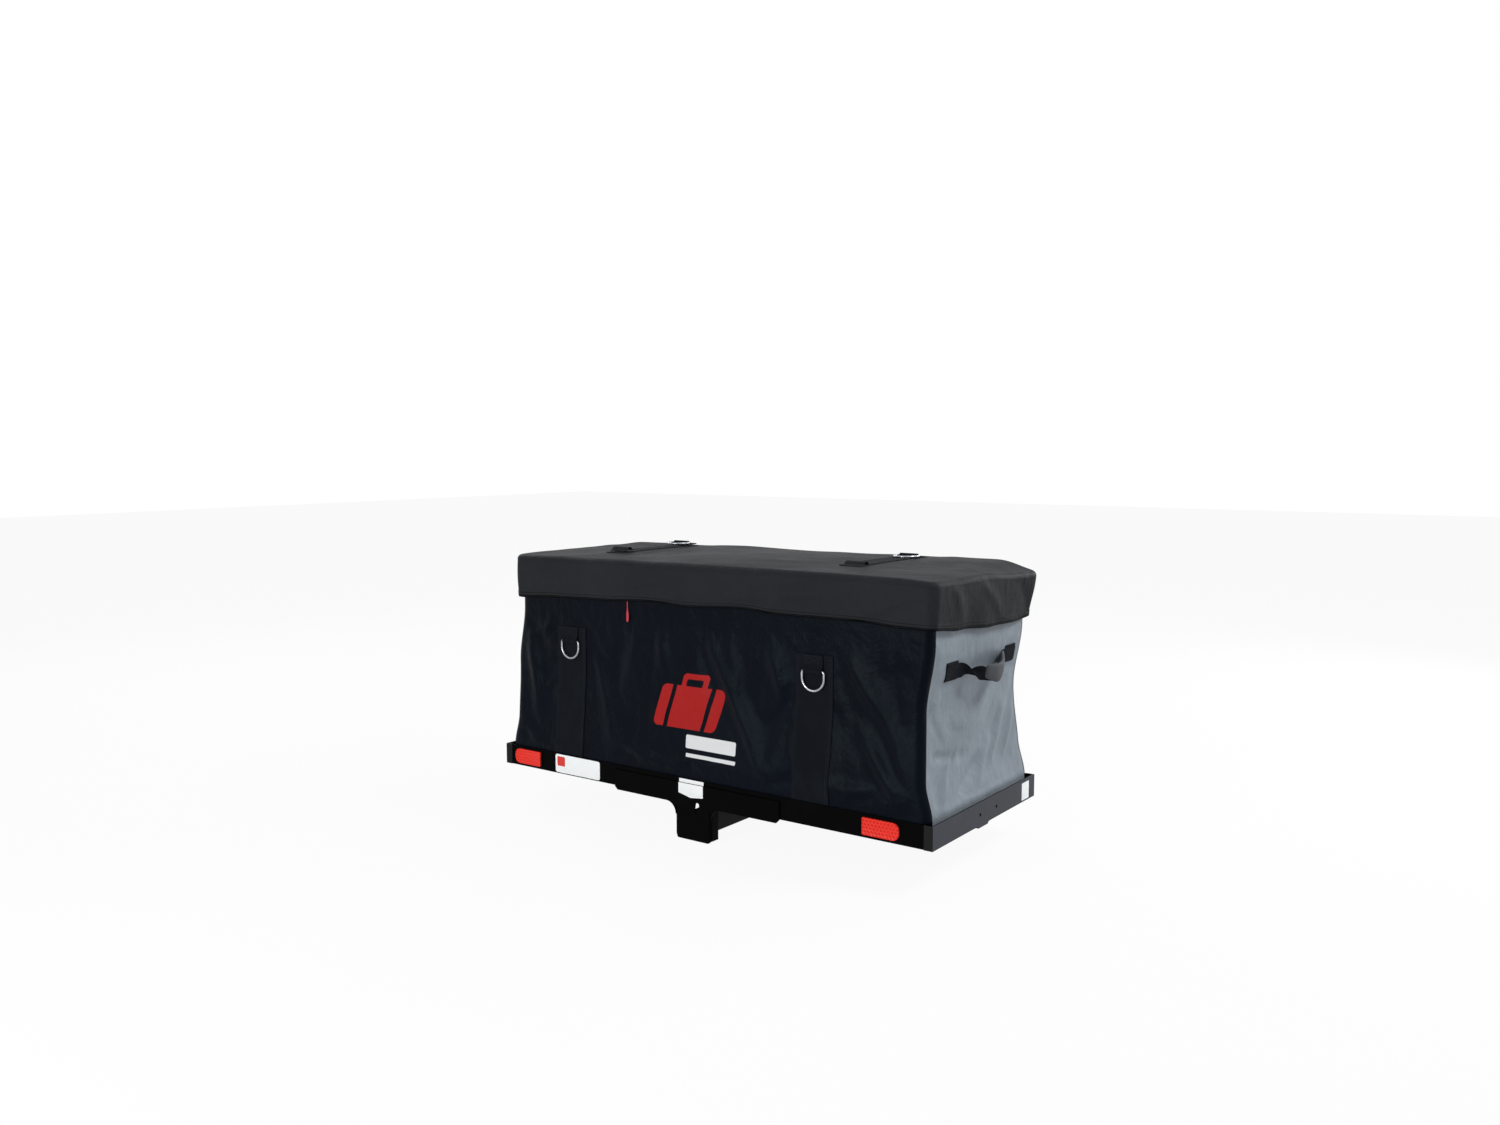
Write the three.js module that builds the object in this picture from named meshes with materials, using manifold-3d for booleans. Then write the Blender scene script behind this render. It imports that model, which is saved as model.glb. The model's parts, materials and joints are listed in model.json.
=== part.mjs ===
// A soft cargo bag seated in a shallow steel tray that a square hitch tube carries behind a vehicle.
// Millimetres, +Z up, +X along the tray, -Y towards the traffic behind, +Y towards the vehicle.
// The model is built from the underside of the tray and then moved, so that its origin is the point
// on the underside of the tube below the hitch pin.

import * as THREE from 'three';
import { mergeVertices } from 'three/addons/utils/BufferGeometryUtils.js';
import Module from 'manifold-3d';

const wasm = await Module();
wasm.setup();

// Clearances
const seam = 0.3;
const running = 0.6;

// Tray
const trayLength = 1220;
const trayDepth = 508;
const trayWall = 50.8;
const traySheet = 2;
const panBend = 6;
const cornerReturn = 20;
const railHoleRadius = 4.2;
const railHoleSpacing = 81;
const railHoleCentre = 6.5;
const railHoleHeight = 23.5;
const railTabWidth = 55;
const railTabCentre = -18.5;
const railTabDepth = 5;

// Stiffening channel under the tray
const channelSheet = 1.6;
const channelFlange = 12;

// Hitch tube, its riser and the front bracket
const tubeSide = 50.8;
const tubeWall = 4;
const tubeDrop = 29;
const shankReach = 280;
const pinFromEnd = 64;
const pinRadius = 8;
const riserSheet = 3;
const riserFlange = 24;
const riserStart = 24;
const riserLength = 200;
const boltRadius = 4;
const boltHeadHeight = 5.5;
const boltHeadAcross = 13;
const nutHeight = 6.5;
const boltSpacing = 120;
const bracketPlate = 3;
const wingLength = 476;
const wingDrop = 9;
const wingTop = 40;
const wingChamfer = 8;
const tongueWidth = 101.6;
const tongueDrop = 91;
const tongueReturn = 30;
const tongueFillet = 28;
const tongueCorner = 10;
const tongueBend = 8;
const slotWidth = 11;
const slotLength = 26;
const slotHeight = -14;
const slotSide = 11;
const slotLean = 0.16;

// Reflectors
const reflectorHeight = 37;
const reflectorWidth = 87;
const reflectorDepth = 5;
const reflectorRound = 15;
const reflectorCorner = 3;
const reflectorLift = 7;
const leftReflectorInset = 79;
const rightReflectorInset = 119.5;

// Bag walls
const cloth = 2;
const bagFloor = 2;
const footEndPlay = 14;
const footSidePlay = 6;
const endTaper = 16;
const sideTaper = 16.5;
const lengthWaist = 130;
const depthShoulder = 96;
const depthWaist = 262;
const wallCorner = 20;
const cornerSteps = 4;
const wallTop = 464;
const sagHeight = 268;
const sagShift = -9;
const rimHeight = 410;
const rimShift = 10;
const foldWidth = 30;
const foldRise = 5;

// Zip and the upper band that hangs from the lid
const zipOpening = 16;
const tapeThick = 1.2;
const tapeOverlap = 10;
const chainHeight = 6;
const chainThick = 2.5;
const sliderInset = 370;
const sliderLength = 16;
const sliderPlay = 0.4;
const sliderPlate = 1.5;
const sliderFlange = 3;
const postRadius = 1.3;
const postHead = 2.4;
const postHeadThick = 1;
const pullThick = 2.4;
const pullLength = 76;
const pullNeck = 3.4;
const pullTab = 8;
const pullNeckShare = 0.55;
const pullTabShare = 0.72;

// Lid
const lidTop = 545;
const lidEndOverlap = 12;
const lidSideOverlap = 15.5;
const lidShift = 12;
const lidCorner = 24;
const lidEdge = 12;
const lidCrown = 5;
const lidCloth = 2;
const hemHeight = 441;
const hemWave = 5;
const hemInset = 4;
const hemRearDip = 16;
const hemRoll = 10;
const hemSwell = 2;

// Webbing strips, ring tabs and rings
const stripWidth = 94;
const stripThick = 1.4;
const leftStripInset = 185;
const rightStripInset = 266;
const stripTop = 369;
const tabWidth = 46;
const tabLength = 35;
const tabThick = 2.8;
const eyeWall = 1.6;
const ringWidth = 61;
const ringWire = 5.5;
const ringLeg = 15;
const ringCorner = 5.5;
const lidStripWidth = 56;
const leftLidStripInset = 228;
const rightLidStripInset = 248;
const lidStripFront = -120;
const lidRingY = 150;
const loopY = -90;
const loopWidth = 50;
const loopSpan = 20;
const loopRise = 10;
const loopFoot = 12;

// Carrying handles on the ends
const handleCentre = 15;
const handleHeight = 344;
const handleSpan = 340;
const handlePatch = 52;
const patchBottom = 322;
const handleWidth = 36;
const handleThick = 2;
const handleBow = 40;
const handleSag = 20;
const gripLength = 116;
const gripShift = 30;
const gripThick = 12;
const gripWidth = 46;

// Places that follow from the sizes above
const panLength = trayLength - 2 * (traySheet + seam);
const panDepth = trayDepth - 2 * (traySheet + seam);
const footLength = trayLength - 2 * footEndPlay;
const footDepth = trayDepth - 2 * footSidePlay;
const wallLength = footLength - 2 * endTaper;
const wallDepth = footDepth - 2 * sideTaper;
const lidLength = wallLength + 2 * lidEndOverlap;
const lidDepth = wallDepth + 2 * lidSideOverlap;
const leftStripX = -wallLength / 2 + leftStripInset;
const rightStripX = wallLength / 2 - rightStripInset;
const leftLidStripX = -wallLength / 2 + leftLidStripInset;
const rightLidStripX = wallLength / 2 - rightLidStripInset;
const sliderX = -wallLength / 2 + sliderInset;
const leftReflectorCentre = -trayLength / 2 + leftReflectorInset;
const rightReflectorCentre = trayLength / 2 - rightReflectorInset;
const tubeTop = -tubeDrop;
const tubeBottom = tubeTop - tubeSide;
const tubeRear = trayDepth / 2 + shankReach;
const pinY = tubeRear - pinFromEnd;
const plateFront = -panDepth / 2 - seam - bracketPlate;
const tubeFront = plateFront + bracketPlate + seam;
const tapeBack = cloth + seam + tapeThick;
const chainMiddle = wallTop + zipOpening / 2;
const gussetBottom = wallTop + zipOpening;
const gussetTop = lidTop - lidCloth - 2 * seam;
const eyeRadius = ringWire / 2 + running;
const eyeOuter = eyeRadius + eyeWall;
const eyeHeight = stripTop - tabLength;
const ringRadius = (ringWidth - ringWire) / 2;

// Helpers for shapes
const axisX = new THREE.Vector3(1, 0, 0);
const axisY = new THREE.Vector3(0, 1, 0);
const axisZ = new THREE.Vector3(0, 0, 1);
const point = (x, y, z) => new THREE.Vector3(x, y, z);

function smooth(low, high, value) {
  return THREE.MathUtils.smoothstep(value, low, high);
}

function spread(from, to, count) {
  return Array.from({ length: count }, (_, i) => from + (to - from) * i / (count - 1));
}

function extrude(shape, length, roundSteps) {
  return new THREE.ExtrudeGeometry(shape, {
    depth: length, bevelEnabled: false, curveSegments: roundSteps,
  });
}

// A section in Y and Z, drawn out along X
function alongX(shape, from, to, roundSteps = 4) {
  const geometry = extrude(shape, to - from, roundSteps);
  geometry.applyMatrix4(new THREE.Matrix4().makeBasis(axisY, axisZ, axisX));
  return geometry.translate(from, 0, 0);
}

// A section in X and Z, drawn out along Y
function alongY(shape, from, to, roundSteps = 4) {
  const geometry = extrude(shape, to - from, roundSteps);
  geometry.applyMatrix4(new THREE.Matrix4().makeBasis(axisX, axisZ, axisY.clone().negate()));
  return geometry.translate(0, to, 0);
}

// A section in X and Y, drawn out along Z
function alongZ(shape, from, to, roundSteps = 4) {
  return extrude(shape, to - from, roundSteps).translate(0, 0, from);
}

function block(x0, x1, y0, y1, z0, z1) {
  const geometry = new THREE.BoxGeometry(x1 - x0, y1 - y0, z1 - z0);
  return geometry.translate((x0 + x1) / 2, (y0 + y1) / 2, (z0 + z1) / 2);
}

function outline(...corners) {
  return new THREE.Shape(corners.map(([u, v]) => new THREE.Vector2(u, v)));
}

// A rectangle whose corners have their own radii: low left, low right, high right, high left
function roundedOutline(u0, u1, v0, v1, [lowLeft, lowRight, highRight, highLeft]) {
  const shape = new THREE.Shape();
  const quarter = Math.PI / 2;
  shape.absarc(u0 + lowLeft, v0 + lowLeft, lowLeft, 2 * quarter, 3 * quarter);
  shape.absarc(u1 - lowRight, v0 + lowRight, lowRight, 3 * quarter, 4 * quarter);
  shape.absarc(u1 - highRight, v1 - highRight, highRight, 0, quarter);
  shape.absarc(u0 + highLeft, v1 - highLeft, highLeft, quarter, 2 * quarter);
  shape.closePath();
  return shape;
}

function circleOutline(u, v, radius) {
  const shape = new THREE.Shape();
  shape.absarc(u, v, radius, 0, 2 * Math.PI);
  return shape;
}

function solidOf(geometry) {
  const bare = geometry.clone();
  bare.deleteAttribute('normal');
  bare.deleteAttribute('uv');
  const merged = mergeVertices(bare, 1e-4);
  return new wasm.Manifold(new wasm.Mesh({
    numProp: 3,
    vertProperties: merged.attributes.position.array,
    triVerts: new Uint32Array(merged.index.array),
  }));
}

function geometryOf(solid) {
  const mesh = solid.getMesh();
  const geometry = new THREE.BufferGeometry();
  geometry.setAttribute('position', new THREE.BufferAttribute(mesh.vertProperties, 3));
  geometry.setIndex(new THREE.BufferAttribute(mesh.triVerts, 1));
  return geometry;
}

function join(...geometries) {
  return geometryOf(geometries.map(solidOf).reduce((whole, next) => whole.add(next)));
}

function cut(geometry, ...tools) {
  return geometryOf(tools.map(solidOf).reduce((rest, tool) => rest.subtract(tool), solidOf(geometry)));
}

// A sheet with two faces: place(i, j, layer) gives its corners, layer 0 outside and layer 1 inside.
// Columns run to the right and rows run up when the sheet is seen from outside.
function sheet(columns, rows, place, { wraps = false, capped = false } = {}) {
  const positions = [];
  for (const layer of [0, 1]) {
    for (let j = 0; j < rows; j += 1) {
      for (let i = 0; i < columns; i += 1) {
        positions.push(...place(i, j, layer).toArray());
      }
    }
  }
  const indices = [];
  const at = (layer, i, j) => (layer * rows + j) * columns + (i % columns);
  const quad = (a, b, c, d) => indices.push(a, b, c, a, c, d);
  const spans = wraps ? columns : columns - 1;
  for (let i = 0; i < spans; i += 1) {
    for (let j = 0; j < rows - 1; j += 1) {
      quad(at(0, i, j), at(0, i + 1, j), at(0, i + 1, j + 1), at(0, i, j + 1));
      quad(at(1, i, j), at(1, i, j + 1), at(1, i + 1, j + 1), at(1, i + 1, j));
    }
    quad(at(1, i, 0), at(1, i + 1, 0), at(0, i + 1, 0), at(0, i, 0));
    if (!capped) {
      quad(at(0, i, rows - 1), at(0, i + 1, rows - 1), at(1, i + 1, rows - 1), at(1, i, rows - 1));
    }
  }
  if (!wraps) {
    const last = columns - 1;
    for (let j = 0; j < rows - 1; j += 1) {
      quad(at(1, 0, j), at(0, 0, j), at(0, 0, j + 1), at(1, 0, j + 1));
      quad(at(0, last, j), at(1, last, j), at(1, last, j + 1), at(0, last, j + 1));
    }
  }
  return welded(positions, indices);
}

// Joins equal corners and drops the triangles that a row drawn together to a line leaves flat
function welded(positions, indices) {
  const raw = new THREE.BufferGeometry();
  raw.setAttribute('position', new THREE.Float32BufferAttribute(positions, 3));
  raw.setIndex(indices);
  const merged = mergeVertices(raw, 1e-3);
  const kept = [];
  const corners = merged.index.array;
  for (let t = 0; t < corners.length; t += 3) {
    const [a, b, c] = [corners[t], corners[t + 1], corners[t + 2]];
    if (a !== b && b !== c && c !== a) kept.push(a, b, c);
  }
  merged.setIndex(kept);
  return merged;
}

// A closed round wire through points that lie in the XZ plane
function wireLoop(points, radius, sides) {
  const positions = [];
  points.forEach((here, i) => {
    const before = points[(i + points.length - 1) % points.length];
    const after = points[(i + 1) % points.length];
    const way = after.clone().sub(here).normalize().add(here.clone().sub(before).normalize());
    way.normalize();
    const across = point(way.z, 0, -way.x);
    for (let k = 0; k < sides; k += 1) {
      const turn = 2 * Math.PI * k / sides;
      const out = across.clone().multiplyScalar(radius * Math.cos(turn));
      out.addScaledVector(axisY, radius * Math.sin(turn));
      positions.push(...here.clone().add(out).toArray());
    }
  });
  const indices = [];
  for (let i = 0; i < points.length; i += 1) {
    for (let k = 0; k < sides; k += 1) {
      const next = ((i + 1) % points.length) * sides;
      const a = i * sides + k;
      const b = i * sides + (k + 1) % sides;
      const c = next + (k + 1) % sides;
      const d = next + k;
      indices.push(a, b, c, a, c, d);
    }
  }
  return welded(positions, indices);
}

const model = new THREE.Group();

function add(name, geometry, [color, roughness, metalness], parent = model) {
  const material = new THREE.MeshStandardMaterial({ color, roughness, metalness });
  const mesh = new THREE.Mesh(geometry, material);
  mesh.name = name;
  parent.add(mesh);
  return mesh;
}

const paint = [0x0b0b0c, 0.45, 0.3];
const slatePaint = [0x4b4f59, 0.5, 0.3];
const zinc = [0xb9bcc0, 0.3, 0.9];
const redLens = [0xf04030, 0.25, 0];
const navyCloth = [0x10151c, 0.7, 0];
const greyCloth = [0x828b98, 0.75, 0];
const charcoalCloth = [0x3c3e42, 0.75, 0];
const blackWebbing = [0x0d0e11, 0.85, 0];
const crimsonCord = [0xa01c38, 0.6, 0];

// Tray: one folded pan, and an end rail that caps each end and wraps its corners
function pan() {
  const outer = roundedOutline(-panLength / 2, panLength / 2, -panDepth / 2, panDepth / 2,
    Array(4).fill(panBend));
  const inset = traySheet;
  const inner = roundedOutline(-panLength / 2 + inset, panLength / 2 - inset,
    -panDepth / 2 + inset, panDepth / 2 - inset, Array(4).fill(panBend - inset));
  const whole = alongZ(outer, 0, trayWall);
  return cut(whole, alongZ(inner, traySheet, trayWall + 1), ...railHoles(-1), ...railHoles(1));
}

function railHoles(end) {
  const middle = end * panLength / 2;
  const reach = 4 * traySheet;
  return [-1, 1].map((side) => {
    const y = railHoleCentre + side * railHoleSpacing / 2;
    return alongX(circleOutline(y, railHoleHeight, railHoleRadius), middle - reach, middle + reach, 8);
  });
}

function endRail(end) {
  const face = end * trayLength / 2;
  const inside = face - end * traySheet;
  const back = face - end * cornerReturn;
  const half = trayDepth / 2;
  const tab = railTabWidth / 2;
  const wallShape = outline([-half, 0], [railTabCentre - tab, 0],
    [railTabCentre - tab + railTabDepth, -railTabDepth],
    [railTabCentre + tab - railTabDepth, -railTabDepth], [railTabCentre + tab, 0],
    [half, 0], [half, trayWall], [-half, trayWall]);
  const wall = alongX(wallShape, Math.min(face, inside), Math.max(face, inside));
  const [low, high] = [Math.min(face, back), Math.max(face, back)];
  const front = block(low, high, -half, -half + traySheet, 0, trayWall);
  const rear = block(low, high, half - traySheet, half, 0, trayWall);
  return cut(join(wall, front, rear), ...railHoles(end));
}

// A shallow hat section that lies under the pan and ends behind the tabs of the end rails
function crossChannel() {
  const top = -seam;
  const bottom = -railTabDepth;
  const mid = railTabCentre;
  const half = railTabWidth / 2;
  const slope = railTabDepth - seam;
  const shape = outline(
    [mid - half - channelFlange, top], [mid - half - channelFlange, top - channelSheet],
    [mid - half, top - channelSheet], [mid - half + slope, bottom],
    [mid + half - slope, bottom], [mid + half, top - channelSheet],
    [mid + half + channelFlange, top - channelSheet], [mid + half + channelFlange, top],
    [mid + half + channelSheet / 2, top], [mid + half - slope, bottom + channelSheet],
    [mid - half + slope, bottom + channelSheet], [mid - half - channelSheet / 2, top]);
  const reach = trayLength / 2 - traySheet - seam;
  return alongX(shape, -reach, reach);
}

function hitchTube() {
  const half = tubeSide / 2;
  const hollow = half - tubeWall;
  const middle = (tubeTop + tubeBottom) / 2;
  const outer = roundedOutline(-half, half, tubeBottom, tubeTop, Array(4).fill(tubeWall));
  const inner = roundedOutline(-hollow, hollow, middle - hollow, middle + hollow, Array(4).fill(1));
  const pinHole = alongX(circleOutline(pinY, middle, pinRadius), -tubeSide, tubeSide, 8);
  const boltHoles = boltPlaces().map((y) => {
    const hole = circleOutline(0, y, boltRadius + seam);
    return alongZ(hole, tubeTop - 2 * tubeWall, tubeTop + tubeWall, 6);
  });
  return cut(alongY(outer, tubeFront, tubeRear, 3), alongY(inner, tubeFront - 1, tubeRear + 1, 2),
    pinHole, ...boltHoles);
}

// A hat-section riser that stands on the tube and carries the pan by its two flanges
function riser() {
  const half = tubeSide / 2;
  const top = -seam;
  const foot = tubeTop + seam;
  const shape = outline(
    [-half - riserFlange, top], [-half - riserFlange, top - riserSheet], [-half, top - riserSheet],
    [-half, foot], [half, foot], [half, top - riserSheet], [half + riserFlange, top - riserSheet],
    [half + riserFlange, top], [half - riserSheet, top], [half - riserSheet, foot + riserSheet],
    [-half + riserSheet, foot + riserSheet], [-half + riserSheet, top]);
  const holes = boltPlaces().map((y) => {
    const hole = circleOutline(0, y, boltRadius + seam);
    return alongZ(hole, foot - 1, foot + riserSheet + 1, 6);
  });
  return cut(alongY(shape, riserStart, riserStart + riserLength), ...holes);
}

function boltPlaces() {
  const middle = riserStart + riserLength / 2;
  return [-1, 1].map((side) => middle + side * boltSpacing / 2);
}

function hexagon(across) {
  const shape = new THREE.Shape();
  shape.setFromPoints(spread(0, 300, 6).map((angle) => {
    const turn = THREE.MathUtils.degToRad(angle);
    const reach = across / Math.sqrt(3);
    return new THREE.Vector2(reach * Math.cos(turn), reach * Math.sin(turn));
  }));
  return shape;
}

function riserBolt() {
  const seat = tubeTop + seam + riserSheet + seam;
  const tip = tubeTop - tubeWall - seam - nutHeight - 2;
  const head = alongZ(hexagon(boltHeadAcross), seat, seat + boltHeadHeight);
  return join(head, alongZ(circleOutline(0, 0, boltRadius), tip, seat + 1, 6));
}

function riserNut() {
  const top = tubeTop - tubeWall - seam;
  const body = alongZ(hexagon(boltHeadAcross), top - nutHeight, top);
  const bore = circleOutline(0, 0, boltRadius + seam);
  return cut(body, alongZ(bore, top - nutHeight - 1, top + 1, 6));
}

// Front bracket: a wing plate on the tray's front wall, and a tongue folded back round the tube's end
function wingOutline() {
  const half = wingLength / 2;
  const neck = tongueWidth / 2;
  const shape = new THREE.Shape();
  shape.moveTo(-half, wingTop);
  shape.lineTo(-half, -wingDrop + wingChamfer);
  shape.lineTo(-half + wingChamfer, -wingDrop);
  shape.lineTo(-neck - tongueFillet, -wingDrop);
  shape.absarc(-neck - tongueFillet, -wingDrop - tongueFillet, tongueFillet, Math.PI / 2, 0, true);
  shape.lineTo(-neck, -tongueDrop + tongueCorner);
  shape.absarc(-neck + tongueCorner, -tongueDrop + tongueCorner, tongueCorner, Math.PI, 1.5 * Math.PI);
  shape.absarc(neck - tongueCorner, -tongueDrop + tongueCorner, tongueCorner, -Math.PI / 2, 0);
  shape.lineTo(neck, -wingDrop - tongueFillet);
  shape.absarc(neck + tongueFillet, -wingDrop - tongueFillet, tongueFillet, Math.PI, Math.PI / 2, true);
  shape.lineTo(half - wingChamfer, -wingDrop);
  shape.lineTo(half, -wingDrop + wingChamfer);
  shape.lineTo(half, wingTop);
  shape.closePath();
  return shape;
}

function tongueSlot() {
  const straight = slotLength / 2 - slotWidth / 2;
  const shape = new THREE.Shape();
  shape.absarc(0, straight, slotWidth / 2, 0, Math.PI);
  shape.absarc(0, -straight, slotWidth / 2, Math.PI, 2 * Math.PI);
  shape.closePath();
  const tool = alongY(shape, -2 * bracketPlate, 2 * bracketPlate, 6);
  tool.rotateY(slotLean);
  return tool.translate(slotSide, plateFront + bracketPlate / 2, slotHeight);
}

function hitchBracket() {
  const half = tongueWidth / 2;
  const back = plateFront + tongueReturn;
  const plate = alongY(wingOutline(), plateFront, plateFront + bracketPlate, 6);
  const outer = roundedOutline(-half, half, plateFront, back, [tongueBend, tongueBend, 1, 1]);
  const inner = roundedOutline(-half + bracketPlate, half - bracketPlate, plateFront + bracketPlate,
    back + bracketPlate, [tongueBend - bracketPlate, tongueBend - bracketPlate, 1, 1]);
  const top = -wingDrop - tongueBend;
  const folded = cut(alongZ(outer, -tongueDrop + tongueCorner / 2, top),
    alongZ(inner, -tongueDrop - 1, top + 1));
  const corner = [-1, 1].map((side) => {
    const edge = side * half;
    const inside = edge - side * 2 * tongueBend;
    return block(Math.min(edge, inside), Math.max(edge, inside), plateFront - 1,
      plateFront + bracketPlate - 0.01, -tongueDrop - 1, top);
  });
  const square = cut(plate, ...corner);
  const rounded = intersection(plate, outer, top);
  return cut(join(square, rounded, folded), tongueSlot());
}

// The part of the plate that lies inside the tongue's rounded folds
function intersection(plate, section, top) {
  const column = solidOf(alongZ(section, -tongueDrop - 1, top));
  return geometryOf(solidOf(plate).intersect(column));
}

// Reflectors: the outer end is round, the inner end square
function reflector(centre, outerSide) {
  const half = reflectorWidth / 2;
  const [near, far] = [reflectorCorner, reflectorRound];
  const radii = outerSide < 0 ? [far, near, near, far] : [near, far, far, near];
  const shape = roundedOutline(centre - half, centre + half, reflectorLift,
    reflectorLift + reflectorHeight, radii);
  const face = -panDepth / 2 - seam;
  return alongY(shape, face - reflectorDepth, face, 4);
}

// Bag walls. A station is a place on the plan of a rounded rectangle: f and g move its corner centre
// from side to side, and turn is the direction in which the wall faces there.
function lean(z) {
  return sagShift * smooth(depthShoulder, sagHeight, z) * (1 - smooth(sagHeight, rimHeight, z))
    + rimShift * smooth(sagHeight, rimHeight, z);
}

function wallHalves(z) {
  const inLength = smooth(trayWall, lengthWaist, z);
  const inDepth = smooth(depthShoulder, depthWaist, z);
  return {
    length: THREE.MathUtils.lerp(footLength, wallLength, inLength) / 2,
    depth: THREE.MathUtils.lerp(footDepth, wallDepth, inDepth) / 2,
  };
}

function onPlan(halves, corner, shift, station, offset, z) {
  const facing = point(Math.cos(station.turn), Math.sin(station.turn), 0);
  const centre = point(
    shift + station.f * (halves.length - corner), station.g * (halves.depth - corner), z);
  return centre.addScaledVector(facing, corner + offset);
}

// Soft folds in the walls: long shallow ridges between two points of the wall they belong to, given
// as shares of half its width and of its height
const folds = [
  { wall: 'front', from: [0.02, 0.86], to: [0.3, 0.2], width: 1.1, rise: 1.4 },
  { wall: 'front', from: [0.3, 0.84], to: [0.46, 0.43], width: 1, rise: 1 },
  { wall: 'front', from: [0.69, 0.86], to: [0.96, 0.24], width: 1.1, rise: 1.4 },
  { wall: 'front', from: [-0.83, 0.75], to: [-0.9, 0.26], width: 1, rise: 0.8 },
  { wall: 'right', from: [-0.78, 0.17], to: [0.26, 0.54], width: 0.9, rise: 1.2 },
  { wall: 'right', from: [-0.26, 0.13], to: [0.6, 0.58], width: 0.9, rise: 1 },
  { wall: 'left', from: [0.73, 0.17], to: [-0.26, 0.54], width: 0.9, rise: 1.2 },
  { wall: 'rear', from: [-0.1, 0.84], to: [-0.4, 0.22], width: 1.1, rise: 1.2 },
  { wall: 'rear', from: [0.45, 0.82], to: [0.26, 0.26], width: 1, rise: 1 },
];

function foldHeight(wall, along, z) {
  const halfWidth = (wall === 'front' || wall === 'rear' ? wallLength : wallDepth) / 2;
  const onWall = ([across, up]) => point(across * halfWidth, up * wallTop, 0);
  const here = point(along, z, 0);
  let height = 0;
  for (const fold of folds.filter((each) => each.wall === wall)) {
    const line = new THREE.Line3(onWall(fold.from), onWall(fold.to));
    const near = line.closestPointToPoint(here, true, point(0, 0, 0));
    const away = near.distanceTo(here) / (fold.width * foldWidth);
    height += fold.rise * foldRise * Math.exp(-away * away);
  }
  return height;
}

// The cloth lies flat under the ring patches, behind the zip's pull and near the tray
function foldShare(wall, along, z) {
  const aboveTray = smooth(trayWall, trayWall + 50, z);
  const belowPull = 1 - smooth(stripTop - 24, chainMiddle - pullLength, z);
  const heights = aboveTray * belowPull;
  const onStrips = wall === 'front' || wall === 'rear' ? [leftStripX, rightStripX] : [];
  const clear = onStrips.map((x) => {
    const aside = smooth(stripWidth / 2 + 4, stripWidth / 2 + 50, Math.abs(along - x));
    const below = 1 - smooth(ringBottom() - 70, ringBottom() - 16, z);
    return Math.max(aside, below);
  });
  return clear.reduce((least, each) => Math.min(least, each), heights);
}

function ringBottom() {
  return eyeHeight - ringLeg - ringRadius - ringWire / 2;
}

function wallPoint(station, z, offset) {
  const corner = wallCorner;
  const at = onPlan(wallHalves(z), corner, lean(z), station, offset, z);
  if (!station.wall) return at;
  const along = station.wall === 'front' || station.wall === 'rear' ? at.x : at.y;
  const rise = foldHeight(station.wall, along, z) * foldShare(station.wall, along, z);
  const edge = station.edge ? 0 : rise;
  return at.addScaledVector(point(Math.cos(station.turn), Math.sin(station.turn), 0), edge);
}

const quarterTurn = Math.PI / 2;
const facings = { right: 0, rear: quarterTurn, left: 2 * quarterTurn, front: 3 * quarterTurn };

// Stations round one corner, between the walls that face turn and turn + 90 degrees
function cornerStations(turn, steps, from = 0, to = 1) {
  const f = Math.sign(Math.round(Math.cos(turn + quarterTurn / 2) * 10));
  const g = Math.sign(Math.round(Math.sin(turn + quarterTurn / 2) * 10));
  return spread(from, to, steps).map((share) => ({ f, g, turn: turn + share * quarterTurn }));
}

// A station on a long wall at a fixed x, whatever the wall's own length is at that height
function longWallStation(wall, x) {
  const g = wall === 'front' ? -1 : 1;
  return { wall, g, turn: facings[wall], x };
}

function stationAt(station, z) {
  if (station.x === undefined) return station;
  const reach = wallHalves(z).length - wallCorner;
  return { ...station, f: (station.x - lean(z)) / reach };
}

// The columns of a long wall keep to the edges of the webbing strips, its rows to the tray's rim and
// to what is sewn on
const stripColumns = (x) => [x - stripWidth / 2, x, x + stripWidth / 2];
const leftColumns = stripColumns(leftStripX);
const rightColumns = stripColumns(rightStripX);
const wallEnd = wallLength / 2 - 3 * wallCorner;
const between = (from, to, count) => spread(from, to, count).slice(1, -1);
const panelXs = [
  -wallEnd, ...leftColumns, ...between(leftColumns[2], rightColumns[0], 11),
  ...rightColumns, ...between(rightColumns[2], wallEnd, 4), wallEnd,
];
const wallRows = [
  bagFloor + seam, trayWall / 2, ...spread(trayWall, patchBottom, 11), stripTop,
  ...between(stripTop, wallTop, 4), wallTop,
];
const rearRows = [...wallRows, (wallTop + gussetTop) / 2, gussetTop];

// A long wall with the half of each corner that it turns round
function longPanel(wall, rows) {
  const turn = facings[wall];
  const sewn = seam / (wallCorner * quarterTurn);
  const order = wall === 'front' ? 1 : -1;
  const middle = panelXs.map((x) => longWallStation(wall, x)).sort((a, b) => order * (a.x - b.x));
  const stations = [
    ...cornerStations(turn - quarterTurn, cornerSteps, sewn, 1), ...middle,
    ...cornerStations(turn, cornerSteps, 0, 1 - sewn),
  ];
  return sheet(stations.length, rows.length, (i, j, layer) => {
    const z = rows[j];
    return wallPoint(stationAt(stations[i], z), z, -layer * cloth);
  });
}

const patchYs = [-1, 1].flatMap((side) => {
  const outer = handleCentre + side * handleSpan / 2;
  const inner = outer - side * handlePatch;
  return [Math.min(outer, inner), Math.max(outer, inner)];
});
const endWallEnd = wallDepth / 2 - 1.2 * wallCorner;
const endYs = [
  -endWallEnd, ...patchYs.slice(0, 2), ...between(patchYs[1], patchYs[2], 7), ...patchYs.slice(2),
  endWallEnd,
];
const patchRows = [patchBottom, stripTop];

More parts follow.
